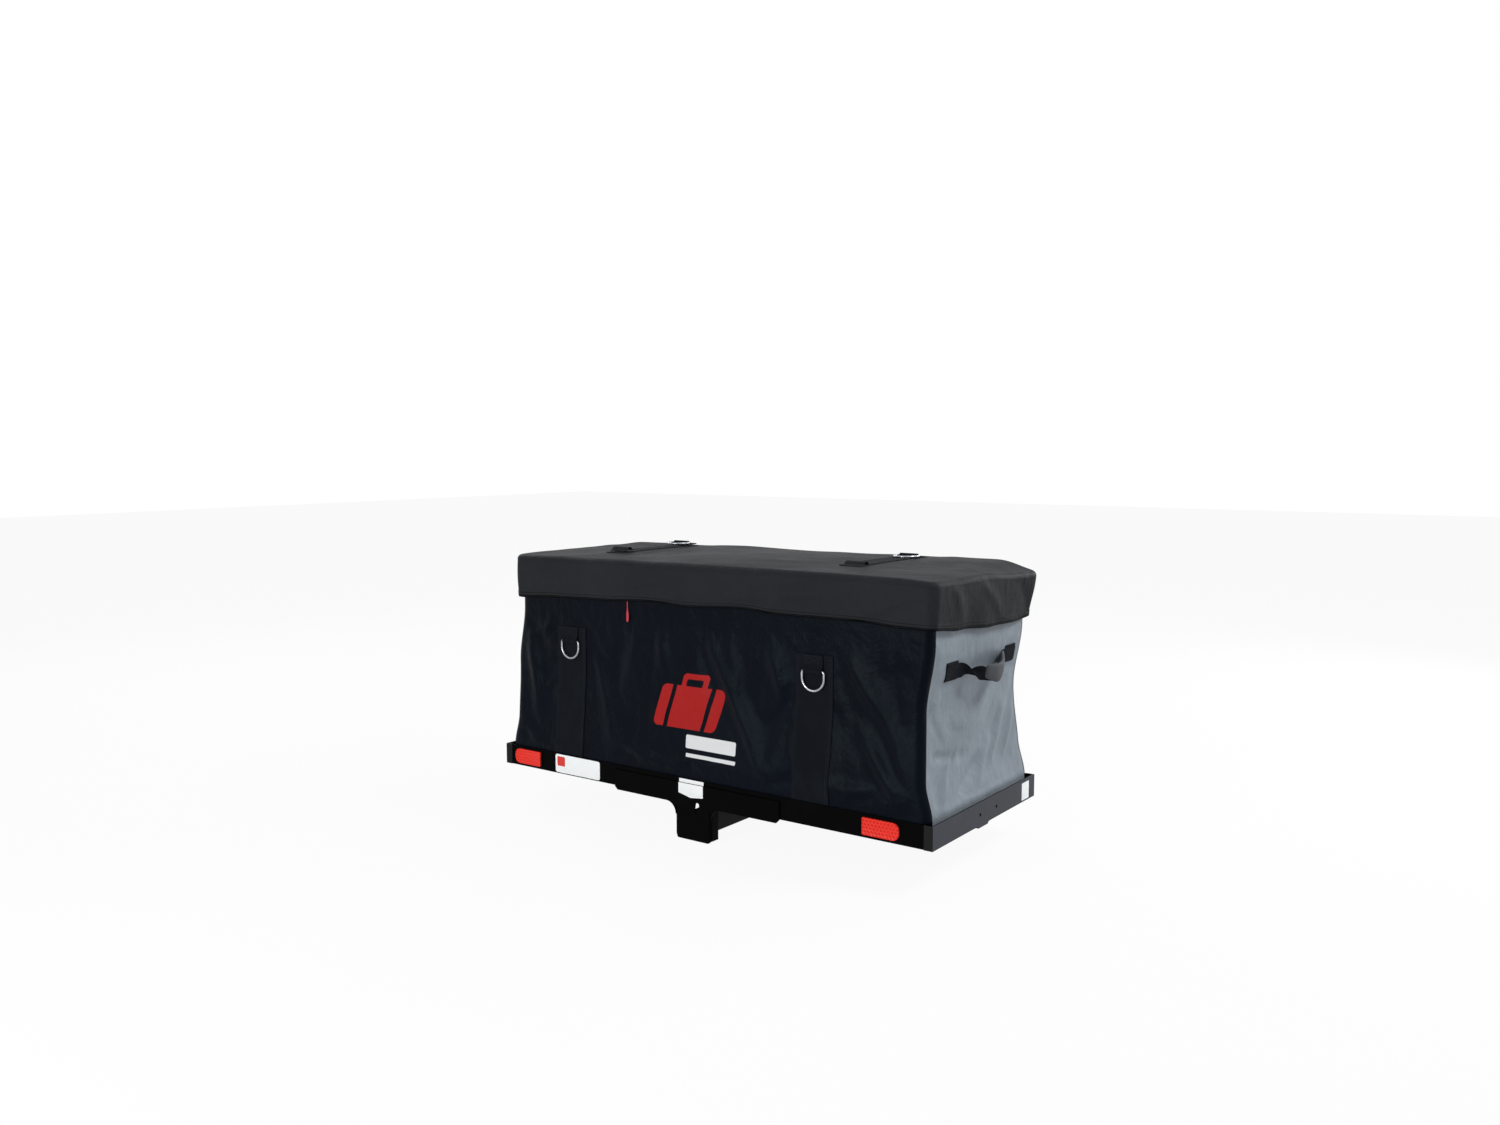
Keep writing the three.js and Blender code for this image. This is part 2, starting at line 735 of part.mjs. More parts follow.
// An end wall stands between the corners of the long walls
function endPanel(wall) {
  const sign = wall === 'right' ? 1 : -1;
  const stations = [
    { f: sign, g: -1, turn: facings[wall], wall, edge: true },
    ...endYs.map((y) => ({ f: sign, turn: facings[wall], wall, y })),
    { f: sign, g: 1, turn: facings[wall], wall, edge: true },
  ];
  if (sign < 0) stations.reverse();
  return sheet(stations.length, wallRows.length, (i, j, layer) => {
    return endPoint(stations[i], wallRows[j], -layer * cloth);
  });
}

function endPoint(station, z, offset) {
  const reach = wallHalves(z).depth - wallCorner;
  const g = station.y === undefined ? station.g : station.y / reach;
  const at = wallPoint({ ...station, g }, z, offset);
  if (station.edge) at.y -= Math.sign(g) * seam;
  return at;
}

function basePanel() {
  const z = bagFloor + seam;
  const halves = wallHalves(z);
  const inset = cloth + seam;
  const shape = roundedOutline(-halves.length + inset, halves.length - inset,
    -halves.depth + inset, halves.depth - inset, Array(4).fill(wallCorner));
  return alongZ(shape, z, z + cloth);
}

// The three walls with the zip, from the left end to the right end; the front has both corners
function straightStations(f0, g0, f1, g1, turn, steps) {
  return spread(0, 1, steps).map((share) => ({
    f: f0 + (f1 - f0) * share, g: g0 + (g1 - g0) * share, turn,
  }));
}

const zipWays = {
  left: straightStations(-1, 1, -1, -1, facings.left, 6),
  front: [
    ...cornerStations(facings.left, cornerSteps),
    ...straightStations(-1, -1, 1, -1, facings.front, 12).slice(1),
    ...cornerStations(facings.front, cornerSteps).slice(1),
  ],
  right: straightStations(1, -1, 1, 1, facings.right, 6),
};
const wholeZip = [...zipWays.left, ...zipWays.front.slice(1), ...zipWays.right.slice(1)];

function zipBand(z0, z1, outside, inside, stations = wholeZip, endGap = seam) {
  const last = stations.length - 1;
  return sheet(stations.length, 2, (i, j, layer) => {
    const z = j ? z1 : z0;
    const at = wallPoint(stations[i], z, layer ? inside : outside);
    if (i === 0 || i === last) at.y -= Math.sign(stations[i].g) * endGap;
    return at;
  });
}

function zipTape() {
  return zipBand(wallTop - tapeOverlap, gussetBottom + tapeOverlap, -cloth - seam, -tapeBack);
}

function zipChain() {
  const seat = -cloth;
  return zipBand(chainMiddle - chainHeight / 2, chainMiddle + chainHeight / 2,
    seat + chainThick, seat);
}

function lidGusset(wall) {
  return zipBand(gussetBottom, gussetTop, 0, -cloth, zipWays[wall], wall === 'front' ? 0 : seam);
}

// Distance of the slider's parts in front of the wall's own face
const sliderBack = chainThick - cloth + sliderPlay;
const sliderFront = sliderBack + sliderPlate;
const pullBack = sliderFront + running;
const postFront = pullBack + pullThick + running;

function zipSlider() {
  const half = sliderLength / 2;
  const reach = chainHeight / 2 + sliderPlay;
  const nose = new THREE.Shape();
  nose.moveTo(-half, -reach - sliderFlange + 1);
  nose.lineTo(half * 0.4, -reach - sliderFlange);
  nose.quadraticCurveTo(half, -reach - sliderFlange, half, 0);
  nose.quadraticCurveTo(half, reach + sliderFlange, half * 0.4, reach + sliderFlange);
  nose.lineTo(-half, reach + sliderFlange - 1);
  nose.closePath();
  const plate = alongY(nose, -sliderFront, -sliderBack, 4);
  const flanges = [-1, 1].map((side) => {
    const near = side * reach;
    const far = side * (reach + sliderFlange - 1);
    return block(-half, half * 0.4, -sliderBack - 0.1, cloth - seam,
      Math.min(near, far), Math.max(near, far));
  });
  const post = alongY(circleOutline(0, 0, postRadius), -postFront - 0.1, -sliderFront + 0.1, 4);
  const head = alongY(circleOutline(0, 0, postHead), -postFront - postHeadThick, -postFront, 4);
  return join(plate, ...flanges, post, head);
}

// A cord that widens to a flat tab, hung on the slider's post by an eye
function zipPull() {
  const eye = postRadius + running;
  const rim = eye + 1.4;
  const shape = new THREE.Shape();
  shape.absarc(0, 0, rim, -0.3 * Math.PI, 1.3 * Math.PI);
  shape.lineTo(-pullNeck / 2, -pullLength * pullNeckShare);
  shape.lineTo(-pullTab / 2, -pullLength * pullTabShare);
  shape.lineTo(-pullTab / 2, -pullLength + 2);
  shape.quadraticCurveTo(0, -pullLength - 2, pullTab / 2, -pullLength + 2);
  shape.lineTo(pullTab / 2, -pullLength * pullTabShare);
  shape.lineTo(pullNeck / 2, -pullLength * pullNeckShare);
  shape.closePath();
  const body = alongY(shape, -pullBack - pullThick, -pullBack, 6);
  const bore = alongY(circleOutline(0, 0, eye), -pullBack - pullThick - 1, -pullBack + 1, 4);
  return cut(body, bore);
}

// Lid. Its skirt hangs from the top's edge down to a wavy hem, longer at the rear right corner.
function lidStations() {
  const wall = (f0, g0, f1, g1, turn, steps) => spread(0, 1, steps).slice(0, -1).map((share) => ({
    f: f0 + (f1 - f0) * share, g: g0 + (g1 - g0) * share, turn,
  }));
  const bend = (turn) => cornerStations(turn, cornerSteps).slice(0, -1);
  return [
    ...wall(-1, -1, 1, -1, facings.front, 13), ...bend(facings.front),
    ...wall(1, -1, 1, 1, facings.right, 7), ...bend(facings.right),
    ...wall(1, 1, -1, 1, facings.rear, 13), ...bend(facings.rear),
    ...wall(-1, 1, -1, -1, facings.left, 7), ...bend(facings.left),
  ];
}

function lidHalves(inset) {
  return { length: lidLength / 2 - inset, depth: lidDepth / 2 - inset };
}

function lidPoint(station, inset, z, offset) {
  const corner = Math.max(lidCorner - inset, 0);
  return onPlan(lidHalves(inset), corner, lidShift, station, offset, z);
}

function crown(at) {
  const across = (at.x - lidShift) / (lidLength / 2);
  const deep = at.y / (lidDepth / 2);
  return lidCrown * (1 - across ** 4) * (1 - deep * deep);
}

function hemAt(station) {
  const ripple = Math.sin(3.1 * station.f * Math.PI + 0.6) * 0.6 + Math.sin(5 * station.g + 1) * 0.4;
  const rearRight = smooth(-1, 1, station.g) * smooth(0.2, 1, station.f);
  return hemHeight + hemWave * ripple - hemRearDip * rearRight;
}

function lidSkirt() {
  const stations = lidStations();
  const levels = [0, 0.06, 0.1, 0.4, 0.7, 1];
  return sheet(stations.length, levels.length, (i, j, layer) => {
    const station = stations[i];
    const low = hemAt(station);
    const high = lidTop - lidEdge - seam;
    const z = THREE.MathUtils.lerp(low, high, levels[j]);
    const inHem = z - low < hemRoll ? hemSwell / 2 : 0;
    const inset = hemInset * (1 - levels[j]);
    const swell = layer ? -inHem / 2 : inHem;
    return lidPoint(station, inset, z, swell - layer * lidCloth);
  }, { wraps: true });
}

function lidTopPanel() {
  const stations = lidStations();
  const bends = spread(0, quarterTurn, 4);
  const edge = bends.map((turn) => ({
    inset: lidEdge * (1 - Math.cos(turn)), drop: lidEdge * (1 - Math.sin(turn)),
  }));
  const middle = [0.15, 0.4, 0.7, 1].map((share) => ({
    inset: THREE.MathUtils.lerp(lidEdge, lidDepth / 2, share), drop: 0,
  }));
  const rings = [...edge, ...middle];
  return sheet(stations.length, rings.length, (i, j, layer) => {
    const ring = rings[j];
    const flat = 1 - ring.drop / lidEdge;
    const sunk = layer * lidCloth;
    const inset = ring.inset + sunk * (1 - flat);
    const at = lidPoint(stations[i], Math.min(inset, lidDepth / 2), 0, 0);
    at.z = lidTop - ring.drop - sunk * flat + crown(at);
    return at;
  }, { wraps: true, capped: true });
}

// Webbing on the long walls
function wallStrip(wall, x) {
  const rows = wallRows.filter((z) => z > trayWall / 2 && z <= stripTop);
  const order = wall === 'front' ? 1 : -1;
  const columns = [-1, 0, 1].map((side) => longWallStation(wall, x + order * side * stripWidth / 2));
  return sheet(columns.length, rows.length, (i, j, layer) => {
    const offset = seam + (layer ? 0 : stripThick);
    return wallPoint(stationAt(columns[i], rows[j]), rows[j], offset);
  });
}

// A tab folded round a ring's bar, drawn with its bar at the origin and its back towards +Y
function ringTab() {
  const back = eyeOuter;
  const half = tabWidth / 2;
  const plate = block(-half, half, back - tabThick, back, 0, tabLength);
  const eye = alongX(circleOutline(0, 0, eyeOuter), -half, half, 6);
  const bore = alongX(circleOutline(0, 0, eyeRadius), -half - 1, half + 1, 6);
  return cut(join(plate, eye), bore);
}

function ringPoints() {
  const side = ringRadius;
  const bar = side - ringCorner;
  const round = spread(0, Math.PI, 11).map((turn) => {
    return point(side * Math.cos(turn), 0, -ringLeg - side * Math.sin(turn));
  });
  return [
    point(-bar, 0, 0), point(bar, 0, 0), point(side - 1.6, 0, -1.6), point(side, 0, -ringCorner),
    ...round, point(-side, 0, -ringCorner), point(-side + 1.6, 0, -1.6),
  ];
}

function dRing() {
  return wireLoop(ringPoints(), ringWire / 2, 8);
}

// A group whose origin is a ring's bar and whose -Y points away from what carries it
function ringGroup(x, y, z, name, turnZ, turnX = 0) {
  const group = new THREE.Group();
  group.position.set(x, y, z);
  group.rotation.set(turnX, 0, turnZ);
  model.add(group);
  add(`ring_tab_${name}`, ringTab(), blackWebbing, group);
  const ring = add(`d_ring_${name}`, dRing(), zinc, group);
  return ring;
}

const ringStandOff = seam + stripThick + seam + eyeOuter;

function wallRings() {
  const y = wallDepth / 2 + ringStandOff;
  ringGroup(leftStripX, -y, eyeHeight, 'front_left', 0);
  ringGroup(rightStripX, -y, eyeHeight, 'front_right', 0);
  ringGroup(leftStripX, y, eyeHeight, 'rear_left', Math.PI);
  ringGroup(rightStripX, y, eyeHeight, 'rear_right', Math.PI);
}

// Webbing on the lid: a strip from front to back, a sewn loop near its front and a ring at its rear
const lidStripRear = lidRingY + tabLength + 4;

function lidStrip(x) {
  const ys = spread(lidStripFront, lidStripRear, 8);
  const xs = [-1, 0, 1].map((side) => x + side * lidStripWidth / 2);
  return sheet(xs.length, ys.length, (i, j, layer) => {
    const at = point(xs[i], ys[j], 0);
    at.z = lidTop + crown(at) + seam + (layer ? 0 : stripThick);
    return at;
  });
}

function lidLoop() {
  const half = loopSpan / 2;
  const wall = stripThick;
  const shape = new THREE.Shape();
  shape.moveTo(-half - loopFoot, 0);
  shape.lineTo(-half, 0);
  shape.absellipse(0, 0, half, loopRise, Math.PI, 0, true);
  shape.lineTo(half + loopFoot, 0);
  shape.lineTo(half + loopFoot, wall);
  shape.lineTo(half + wall, wall);
  shape.absellipse(0, wall, half + wall, loopRise, 0, Math.PI, false);
  shape.lineTo(-half - loopFoot, wall);
  shape.closePath();
  return alongX(shape, -loopWidth / 2, loopWidth / 2, 5);
}

// Seats a piece of the lid on its strip, turned with the lid's slope there
function onLidStrip(mesh, x, y, reach) {
  const ends = [-1, 1].map((side) => crown(point(x, y + side * reach, 0)));
  mesh.position.set(x, y, lidTop + crown(point(x, y, 0)) + 2 * seam + stripThick);
  mesh.rotation.x = Math.atan2(ends[1] - ends[0], 2 * reach);
}

// The lid's rings lie forward, their round end down on the strip
function lidRings() {
  const restTilt = Math.asin((eyeOuter - ringWire / 2) / (ringLeg + ringRadius));
  [['lid_left', leftLidStripX], ['lid_right', rightLidStripX]].forEach(([name, x]) => {
    const ends = [0, tabLength].map((y) => crown(point(x, lidRingY + y, 0)));
    const slope = Math.atan2(ends[1] - ends[0], tabLength);
    const z = lidTop + ends[0] + ringStandOff;
    const ring = ringGroup(x, lidRingY, z, name, 0, -quarterTurn + slope);
    ring.rotation.x = restTilt / 2;
  });
}

// Carrying handles
function handlePatchSheet(wall, which) {
  const sign = wall === 'right' ? 1 : -1;
  const ends = which === 'front' ? patchYs.slice(0, 2) : patchYs.slice(2);
  const ys = sign > 0 ? ends : [ends[1], ends[0]];
  return sheet(2, patchRows.length, (i, j, layer) => {
    const station = { f: sign, turn: facings[wall], wall, y: ys[i] };
    return endPoint(station, patchRows[j], seam + (layer ? 0 : stripThick));
  });
}

// How far the strap stands off the wall and hangs down at a distance from its middle
function handleLine(away) {
  const free = handleSpan / 2 - handlePatch;
  const share = Math.abs(away) < free ? (1 + Math.cos(Math.PI * away / free)) / 2 : 0;
  const face = 2 * seam + stripThick + handleThick / 2;
  return { out: face + handleBow * share, down: handleSag * share };
}

// The end wall's face between the rows that bound the handle patches
function endFaceX(sign, z) {
  const [low, high] = patchRows.map((row) => sign * wallHalves(row).length + lean(row));
  return THREE.MathUtils.mapLinear(z, patchRows[0], patchRows[1], low, high);
}

// A point of the strap or grip: away along the strap, tall up its width and thick through it
function handlePoint(sign, away, tall, thick) {
  const here = handleLine(away);
  const slope = handleLine(away + 1).out - handleLine(away - 1).out;
  const outward = point(sign, -slope / 2, 0).normalize();
  const at = point(sign * here.out, handleCentre + away, handleHeight - here.down + tall);
  at.x += endFaceX(sign, at.z);
  return at.addScaledVector(outward, thick);
}

const gripFrom = gripShift - gripLength / 2;
const gripTo = gripShift + gripLength / 2;
const gripAways = spread(gripFrom, gripTo, 7);

function handleStrap(sign) {
  const end = handleSpan / 2;
  const free = end - handlePatch;
  const front = spread(-free, gripFrom, 6).slice(0, -1);
  const rear = spread(gripTo, free, 3).slice(1);
  const aways = [-end, ...front, ...gripAways, ...rear, end];
  if (sign < 0) aways.reverse();
  return sheet(aways.length, 2, (i, j, layer) => {
    const tall = (j ? 1 : -1) * handleWidth / 2;
    return handlePoint(sign, aways[i], tall, (layer ? -1 : 1) * handleThick / 2);
  });
}

// A padded sleeve round the strap, which has slid a little towards the rear
function handleGrip(sign) {
  const aways = [...gripAways];
  const count = 12;
  const topShare = Math.cos(Math.PI / count);
  if (sign < 0) aways.reverse();
  const plumpSide = (value) => Math.sign(value) * Math.abs(value) ** 0.5;
  return sheet(count, aways.length, (i, j, layer) => {
    const turn = 2 * Math.PI * (i + 0.5) / count;
    const [u, v] = [Math.cos(turn), -Math.sin(turn)];
    if (layer) {
      const tall = v / topShare * (handleWidth / 2 + seam);
      return handlePoint(sign, aways[j], tall, Math.sign(u) * (handleThick / 2 + seam));
    }
    const taper = 1 - 0.25 * Math.abs((aways[j] - gripShift) / (gripLength / 2)) ** 4;
    return handlePoint(sign, aways[j], plumpSide(v) * gripWidth / 2,
      plumpSide(u) * taper * gripThick / 2);
  }, { wraps: true });
}

// Assembly
add('tray_pan', pan(), paint);
add('end_rail_left', endRail(-1), slatePaint);
add('end_rail_right', endRail(1), slatePaint);
add('cross_channel', crossChannel(), paint);
add('hitch_bracket', hitchBracket(), paint);
add('hitch_tube', hitchTube(), slatePaint);
add('tube_riser', riser(), paint);
boltPlaces().forEach((y, i) => {
  const name = i ? 'rear' : 'front';
  add(`riser_bolt_${name}`, riserBolt(), zinc).position.y = y;
  add(`riser_nut_${name}`, riserNut(), zinc).position.y = y;
});
add('reflector_left', reflector(leftReflectorCentre, -1), redLens);
add('reflector_right', reflector(rightReflectorCentre, 1), redLens);

add('base_panel', basePanel(), navyCloth);
add('front_panel', longPanel('front', wallRows), navyCloth);
add('rear_panel', longPanel('rear', rearRows), navyCloth);
add('end_panel_left', endPanel('left'), greyCloth);
add('end_panel_right', endPanel('right'), greyCloth);
add('zip_tape', zipTape(), blackWebbing);
add('zip_chain', zipChain(), blackWebbing);
add('lid_gusset_front', lidGusset('front'), charcoalCloth);
add('lid_gusset_left', lidGusset('left'), charcoalCloth);
add('lid_gusset_right', lidGusset('right'), charcoalCloth);
add('lid_top', lidTopPanel(), charcoalCloth);
add('lid_skirt', lidSkirt(), charcoalCloth);

const zip = new THREE.Group();
zip.position.set(sliderX, -wallDepth / 2, chainMiddle);
model.add(zip);
add('zip_slider', zipSlider(), zinc, zip);
add('zip_pull', zipPull(), crimsonCord, zip);

for (const wall of ['front', 'rear']) {
  add(`${wall}_strip_left`, wallStrip(wall, leftStripX), blackWebbing);
  add(`${wall}_strip_right`, wallStrip(wall, rightStripX), blackWebbing);
}
wallRings();

add('lid_strip_left', lidStrip(leftLidStripX), blackWebbing);
add('lid_strip_right', lidStrip(rightLidStripX), blackWebbing);
onLidStrip(add('lid_loop_left', lidLoop(), blackWebbing), leftLidStripX, loopY, loopSpan);
onLidStrip(add('lid_loop_right', lidLoop(), blackWebbing), rightLidStripX, loopY, loopSpan);
lidRings();

for (const [name, sign] of [['left', -1], ['right', 1]]) {
  add(`handle_patch_${name}_front`, handlePatchSheet(name, 'front'), blackWebbing);
  add(`handle_patch_${name}_rear`, handlePatchSheet(name, 'rear'), blackWebbing);
  add(`handle_strap_${name}`, handleStrap(sign), blackWebbing);
  add(`handle_grip_${name}`, handleGrip(sign), blackWebbing);
}

model.position.set(0, -pinY, -tubeBottom);

export default model;
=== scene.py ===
"""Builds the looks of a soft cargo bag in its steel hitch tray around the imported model."""

import json
import math

import bpy
from mathutils import Matrix, Vector, noise


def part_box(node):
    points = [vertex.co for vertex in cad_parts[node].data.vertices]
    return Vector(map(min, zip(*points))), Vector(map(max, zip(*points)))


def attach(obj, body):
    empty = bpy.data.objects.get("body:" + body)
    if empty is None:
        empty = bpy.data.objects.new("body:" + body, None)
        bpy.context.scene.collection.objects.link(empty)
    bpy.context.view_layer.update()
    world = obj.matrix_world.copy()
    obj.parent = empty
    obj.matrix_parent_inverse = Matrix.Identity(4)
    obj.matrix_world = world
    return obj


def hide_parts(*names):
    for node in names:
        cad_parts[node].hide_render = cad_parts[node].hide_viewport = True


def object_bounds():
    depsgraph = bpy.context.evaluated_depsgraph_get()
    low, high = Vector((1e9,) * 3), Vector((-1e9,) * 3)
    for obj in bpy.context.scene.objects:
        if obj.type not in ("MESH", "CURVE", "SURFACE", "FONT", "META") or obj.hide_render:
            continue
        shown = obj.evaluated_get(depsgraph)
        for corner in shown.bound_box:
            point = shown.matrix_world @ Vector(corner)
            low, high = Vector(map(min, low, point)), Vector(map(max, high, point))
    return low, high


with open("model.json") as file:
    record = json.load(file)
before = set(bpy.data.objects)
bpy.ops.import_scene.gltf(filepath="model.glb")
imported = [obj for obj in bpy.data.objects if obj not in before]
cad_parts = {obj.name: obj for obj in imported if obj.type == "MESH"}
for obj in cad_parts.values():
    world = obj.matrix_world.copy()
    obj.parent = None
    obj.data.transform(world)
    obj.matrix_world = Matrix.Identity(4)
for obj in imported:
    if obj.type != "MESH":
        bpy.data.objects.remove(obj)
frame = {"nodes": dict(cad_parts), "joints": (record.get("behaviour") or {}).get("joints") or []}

bl_info = {
    "name": "Hitch cargo bag",
    "version": (1, 0, 0),
    "blender": (4, 5, 0),
    "location": "View3D > Sidebar > Cargo bag",
    "description": "Dresses the hitch cargo bag and its steel tray",
    "category": "Object",
}

CAD_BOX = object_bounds()
PAN_LOW, PAN_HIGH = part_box("tray_pan")
TRAY = Vector((0, (PAN_LOW.y + PAN_HIGH.y) / 2, PAN_LOW.z))
JOINTS = {joint["name"]: joint for joint in frame["joints"]}
RIGHT, REAR, LEFT, FRONT = (quarter * math.pi / 2 for quarter in range(4))


def linear(red, green, blue):
    """A colour seen on a screen, as the light it stands for."""
    shares = [value / 255 for value in (red, green, blue)]
    return tuple(s / 12.92 if s <= 0.04045 else ((s + 0.055) / 1.055) ** 2.4 for s in shares)


def length(name, description, default):
    return bpy.props.FloatProperty(name=name, description=description, default=default, min=0,
                                   precision=4, unit="LENGTH")


def colour(name, description, default):
    return bpy.props.FloatVectorProperty(name=name, description=description, subtype="COLOR",
                                         size=3, min=0, max=1, default=default)


class CargoBagSizes(bpy.types.PropertyGroup):
    wall_length: length("Wall length", "Length of the bag between its end walls", 1.160)
    wall_depth: length("Wall depth", "Depth of the bag above its foot", 0.463)
    foot_length: length("Foot length", "Length of the bag inside the tray", 1.192)
    foot_depth: length("Foot depth", "Depth of the bag inside the tray", 0.496)
    wall_corner: length("Wall corner", "Radius of the bag's upright corners", 0.020)
    wall_top: length("Wall top", "Height of the walls up to the zip", 0.464)
    lid_top: length("Lid top", "Height of the lid above the tray's underside", 0.545)
    lid_length: length("Lid length", "Length of the lid", 1.184)
    lid_depth: length("Lid depth", "Depth of the lid", 0.494)
    lid_shift: length("Lid shift", "How far the lid has slid to the right", 0.012)
    lid_corner: length("Lid corner", "Radius of the lid's corners", 0.024)
    lid_edge: length("Lid edge", "Radius of the roll along the lid's edge", 0.012)
    cloth: length("Cloth", "Thickness of the coated cloth", 0.002)
    webbing: length("Webbing", "Thickness of the webbing", 0.0014)
    strip_width: length("Strip width", "Width of the webbing on the long walls", 0.094)
    tab_width: length("Tab width", "Width of the tab round a ring's bar", 0.046)
    ring_width: length("Ring width", "Width of a lashing ring", 0.061)
    ring_wire: length("Ring wire", "Diameter of a ring's wire", 0.0055)
    strap_width: length("Strap width", "Width of a carrying handle's strap", 0.036)


class CargoBagColours(bpy.types.PropertyGroup):
    navy: colour("Navy", "Cloth of the long walls", (0.0016, 0.0028, 0.0058))
    grey: colour("Grey", "Cloth of the end walls", (0.215, 0.250, 0.285))
    charcoal: colour("Charcoal", "Cloth of the lid", (0.0190, 0.0198, 0.0222))
    webbing: colour("Webbing", "Webbing, tabs and straps", (0.0052, 0.0068, 0.0100))
    grip: colour("Grip", "Padded sleeve of a handle", (0.088, 0.092, 0.102))
    paint: colour("Paint", "Powder coat of the tray and bracket", (0.0010, 0.0010, 0.0012))
    # Painted light: the end rails have the same black paint as the tray, and this lighter slate
    # stands for the light on every face but the front one.
    rail_painted_light: colour("Slate", "Powder coat of the end rails", (0.037, 0.040, 0.051))
    tube: colour("Tube", "Powder coat of the hitch tube", (0.0060, 0.0065, 0.0078))
    zinc: colour("Zinc", "Rings, bolts and nuts", linear(164, 167, 172))
    red: colour("Red", "Reflectors and the small label square", (0.64, 0.018, 0.010))
    crimson: colour("Crimson", "Pull of the zip", linear(176, 22, 52))
    print_red: colour("Print red", "Luggage sign on the front", (0.36, 0.016, 0.015))
    white: colour("White", "Labels and printed bars", linear(240, 243, 244))


def sizes():
    return bpy.context.scene.cargo_bag_sizes


def colours():
    return bpy.context.scene.cargo_bag_colours


def lerp(low, high, share):
    return low + (high - low) * share


def smooth(low, high, value):
    share = min(max((value - low) / (high - low), 0), 1)
    return share * share * (3 - 2 * share)


def through(stops, value):
    """A smooth line through stops, which are pairs of place and value in rising order."""
    if value <= stops[0][0]:
        return stops[0][1]
    for (a, low), (b, high) in zip(stops, stops[1:]):
        if value <= b:
            return lerp(low, high, smooth(a, b, value))
    return stops[-1][1]


# Shader maths
class Signal:
    """A shader value that takes part in Python arithmetic."""

    def __init__(self, finish, socket):
        self.finish, self.socket = finish, socket

    def join(self, operation, *others):
        values = dict(enumerate((self, *others)))
        return self.finish.node("ShaderNodeMath", {"operation": operation}, values)

    def swapped(self, operation, other):
        return self.finish.node("ShaderNodeMath", {"operation": operation}, {0: other, 1: self})

    def __add__(self, other):
        return self.join("ADD", other)

    def __sub__(self, other):
        return self.join("SUBTRACT", other)

    def __mul__(self, other):
        return self.join("MULTIPLY", other)

    def __truediv__(self, other):
        return self.join("DIVIDE", other)

    def __radd__(self, other):
        return self.swapped("ADD", other)

    def __rsub__(self, other):
        return self.swapped("SUBTRACT", other)

    def __rmul__(self, other):
        return self.swapped("MULTIPLY", other)

    def __abs__(self):
        return self.join("ABSOLUTE")

    def sine(self):
        return self.join("SINE")

    def least(self, other):
        return self.join("MINIMUM", other)

    def most(self, other):
        return self.join("MAXIMUM", other)

    def wave(self, pitch):
        """Rises and falls between -1 and 1 once in every pitch."""
        return (self * (2 * math.pi / pitch)).sine()

    def step(self, low, high):
        """0 below low, 1 above high, and smooth between them."""
        return self.finish.node("ShaderNodeMapRange", {"interpolation_type": "SMOOTHSTEP"},
                                {"Value": self, "From Min": low, "From Max": high})


class Finish:
    """A node material round one Principled shader."""

    def __init__(self, name, **settings):
        self.material = bpy.data.materials.new(name)
        self.material.use_nodes = True
        self.tree = self.material.node_tree
        self.tree.nodes.clear()
        self.shader = self.tree.nodes.new("ShaderNodeBsdfPrincipled")
        out = self.tree.nodes.new("ShaderNodeOutputMaterial")
        self.tree.links.new(self.shader.outputs[0], out.inputs["Surface"])
        self.wear(**settings)

    def feed(self, node, values):
        for key, value in values.items():
            socket = node.inputs[key]
            if isinstance(value, Signal):
                self.tree.links.new(value.socket, socket)
            elif socket.type == "RGBA" and len(value) == 3:
                socket.default_value = (*value, 1)
            else:
                socket.default_value = value

    def node(self, kind, settings=None, values=None, output=0):
        made = self.tree.nodes.new(kind)
        for key, value in (settings or {}).items():
            setattr(made, key, value)
        self.feed(made, values or {})
        return Signal(self, made.outputs[output])

    def place(self):
        return self.node("ShaderNodeTexCoord", output="Object")

    def parts(self, vector):
        split = self.tree.nodes.new("ShaderNodeSeparateXYZ")
        self.tree.links.new(vector.socket, split.inputs[0])
        return [Signal(self, socket) for socket in split.outputs]

    def along(self):
        """How far a point is along and across the cloth it is on, in metres."""
        return self.parts(self.node("ShaderNodeUVMap"))[:2]

    def stretch(self, vector, factors):
        return self.node("ShaderNodeVectorMath", {"operation": "MULTIPLY"}, {0: vector, 1: factors})

    def speckle(self, vector, scale, detail=3.0, roughness=0.5, distortion=0.0):
        return self.node("ShaderNodeTexNoise", {}, {
            "Vector": vector, "Scale": scale, "Detail": detail, "Roughness": roughness,
            "Distortion": distortion})

    def mix(self, share, low, high):
        return self.node("ShaderNodeMix", {"data_type": "RGBA"}, {0: share, 6: low, 7: high}, 2)

    def shade(self, colour, share, dark=0.8, light=1.15):
        """The colour from darker to lighter as share goes from 0 to 1."""
        return self.mix(share, [value * dark for value in colour],
                        [min(value * light, 1) for value in colour])

    def relief(self, height, distance, strength=1.0, under=None):
        values = {"Height": height, "Distance": distance, "Strength": strength}
        if under is not None:
            values["Normal"] = under
        return self.node("ShaderNodeBump", {}, values)

    def wear(self, **signals):
        """Sets the shader's sockets, each named in small letters with underscores."""
        self.feed(self.shader, {key.replace("_", " ").title().replace("Ior", "IOR"): value
                                for key, value in signals.items()})
        return self.material


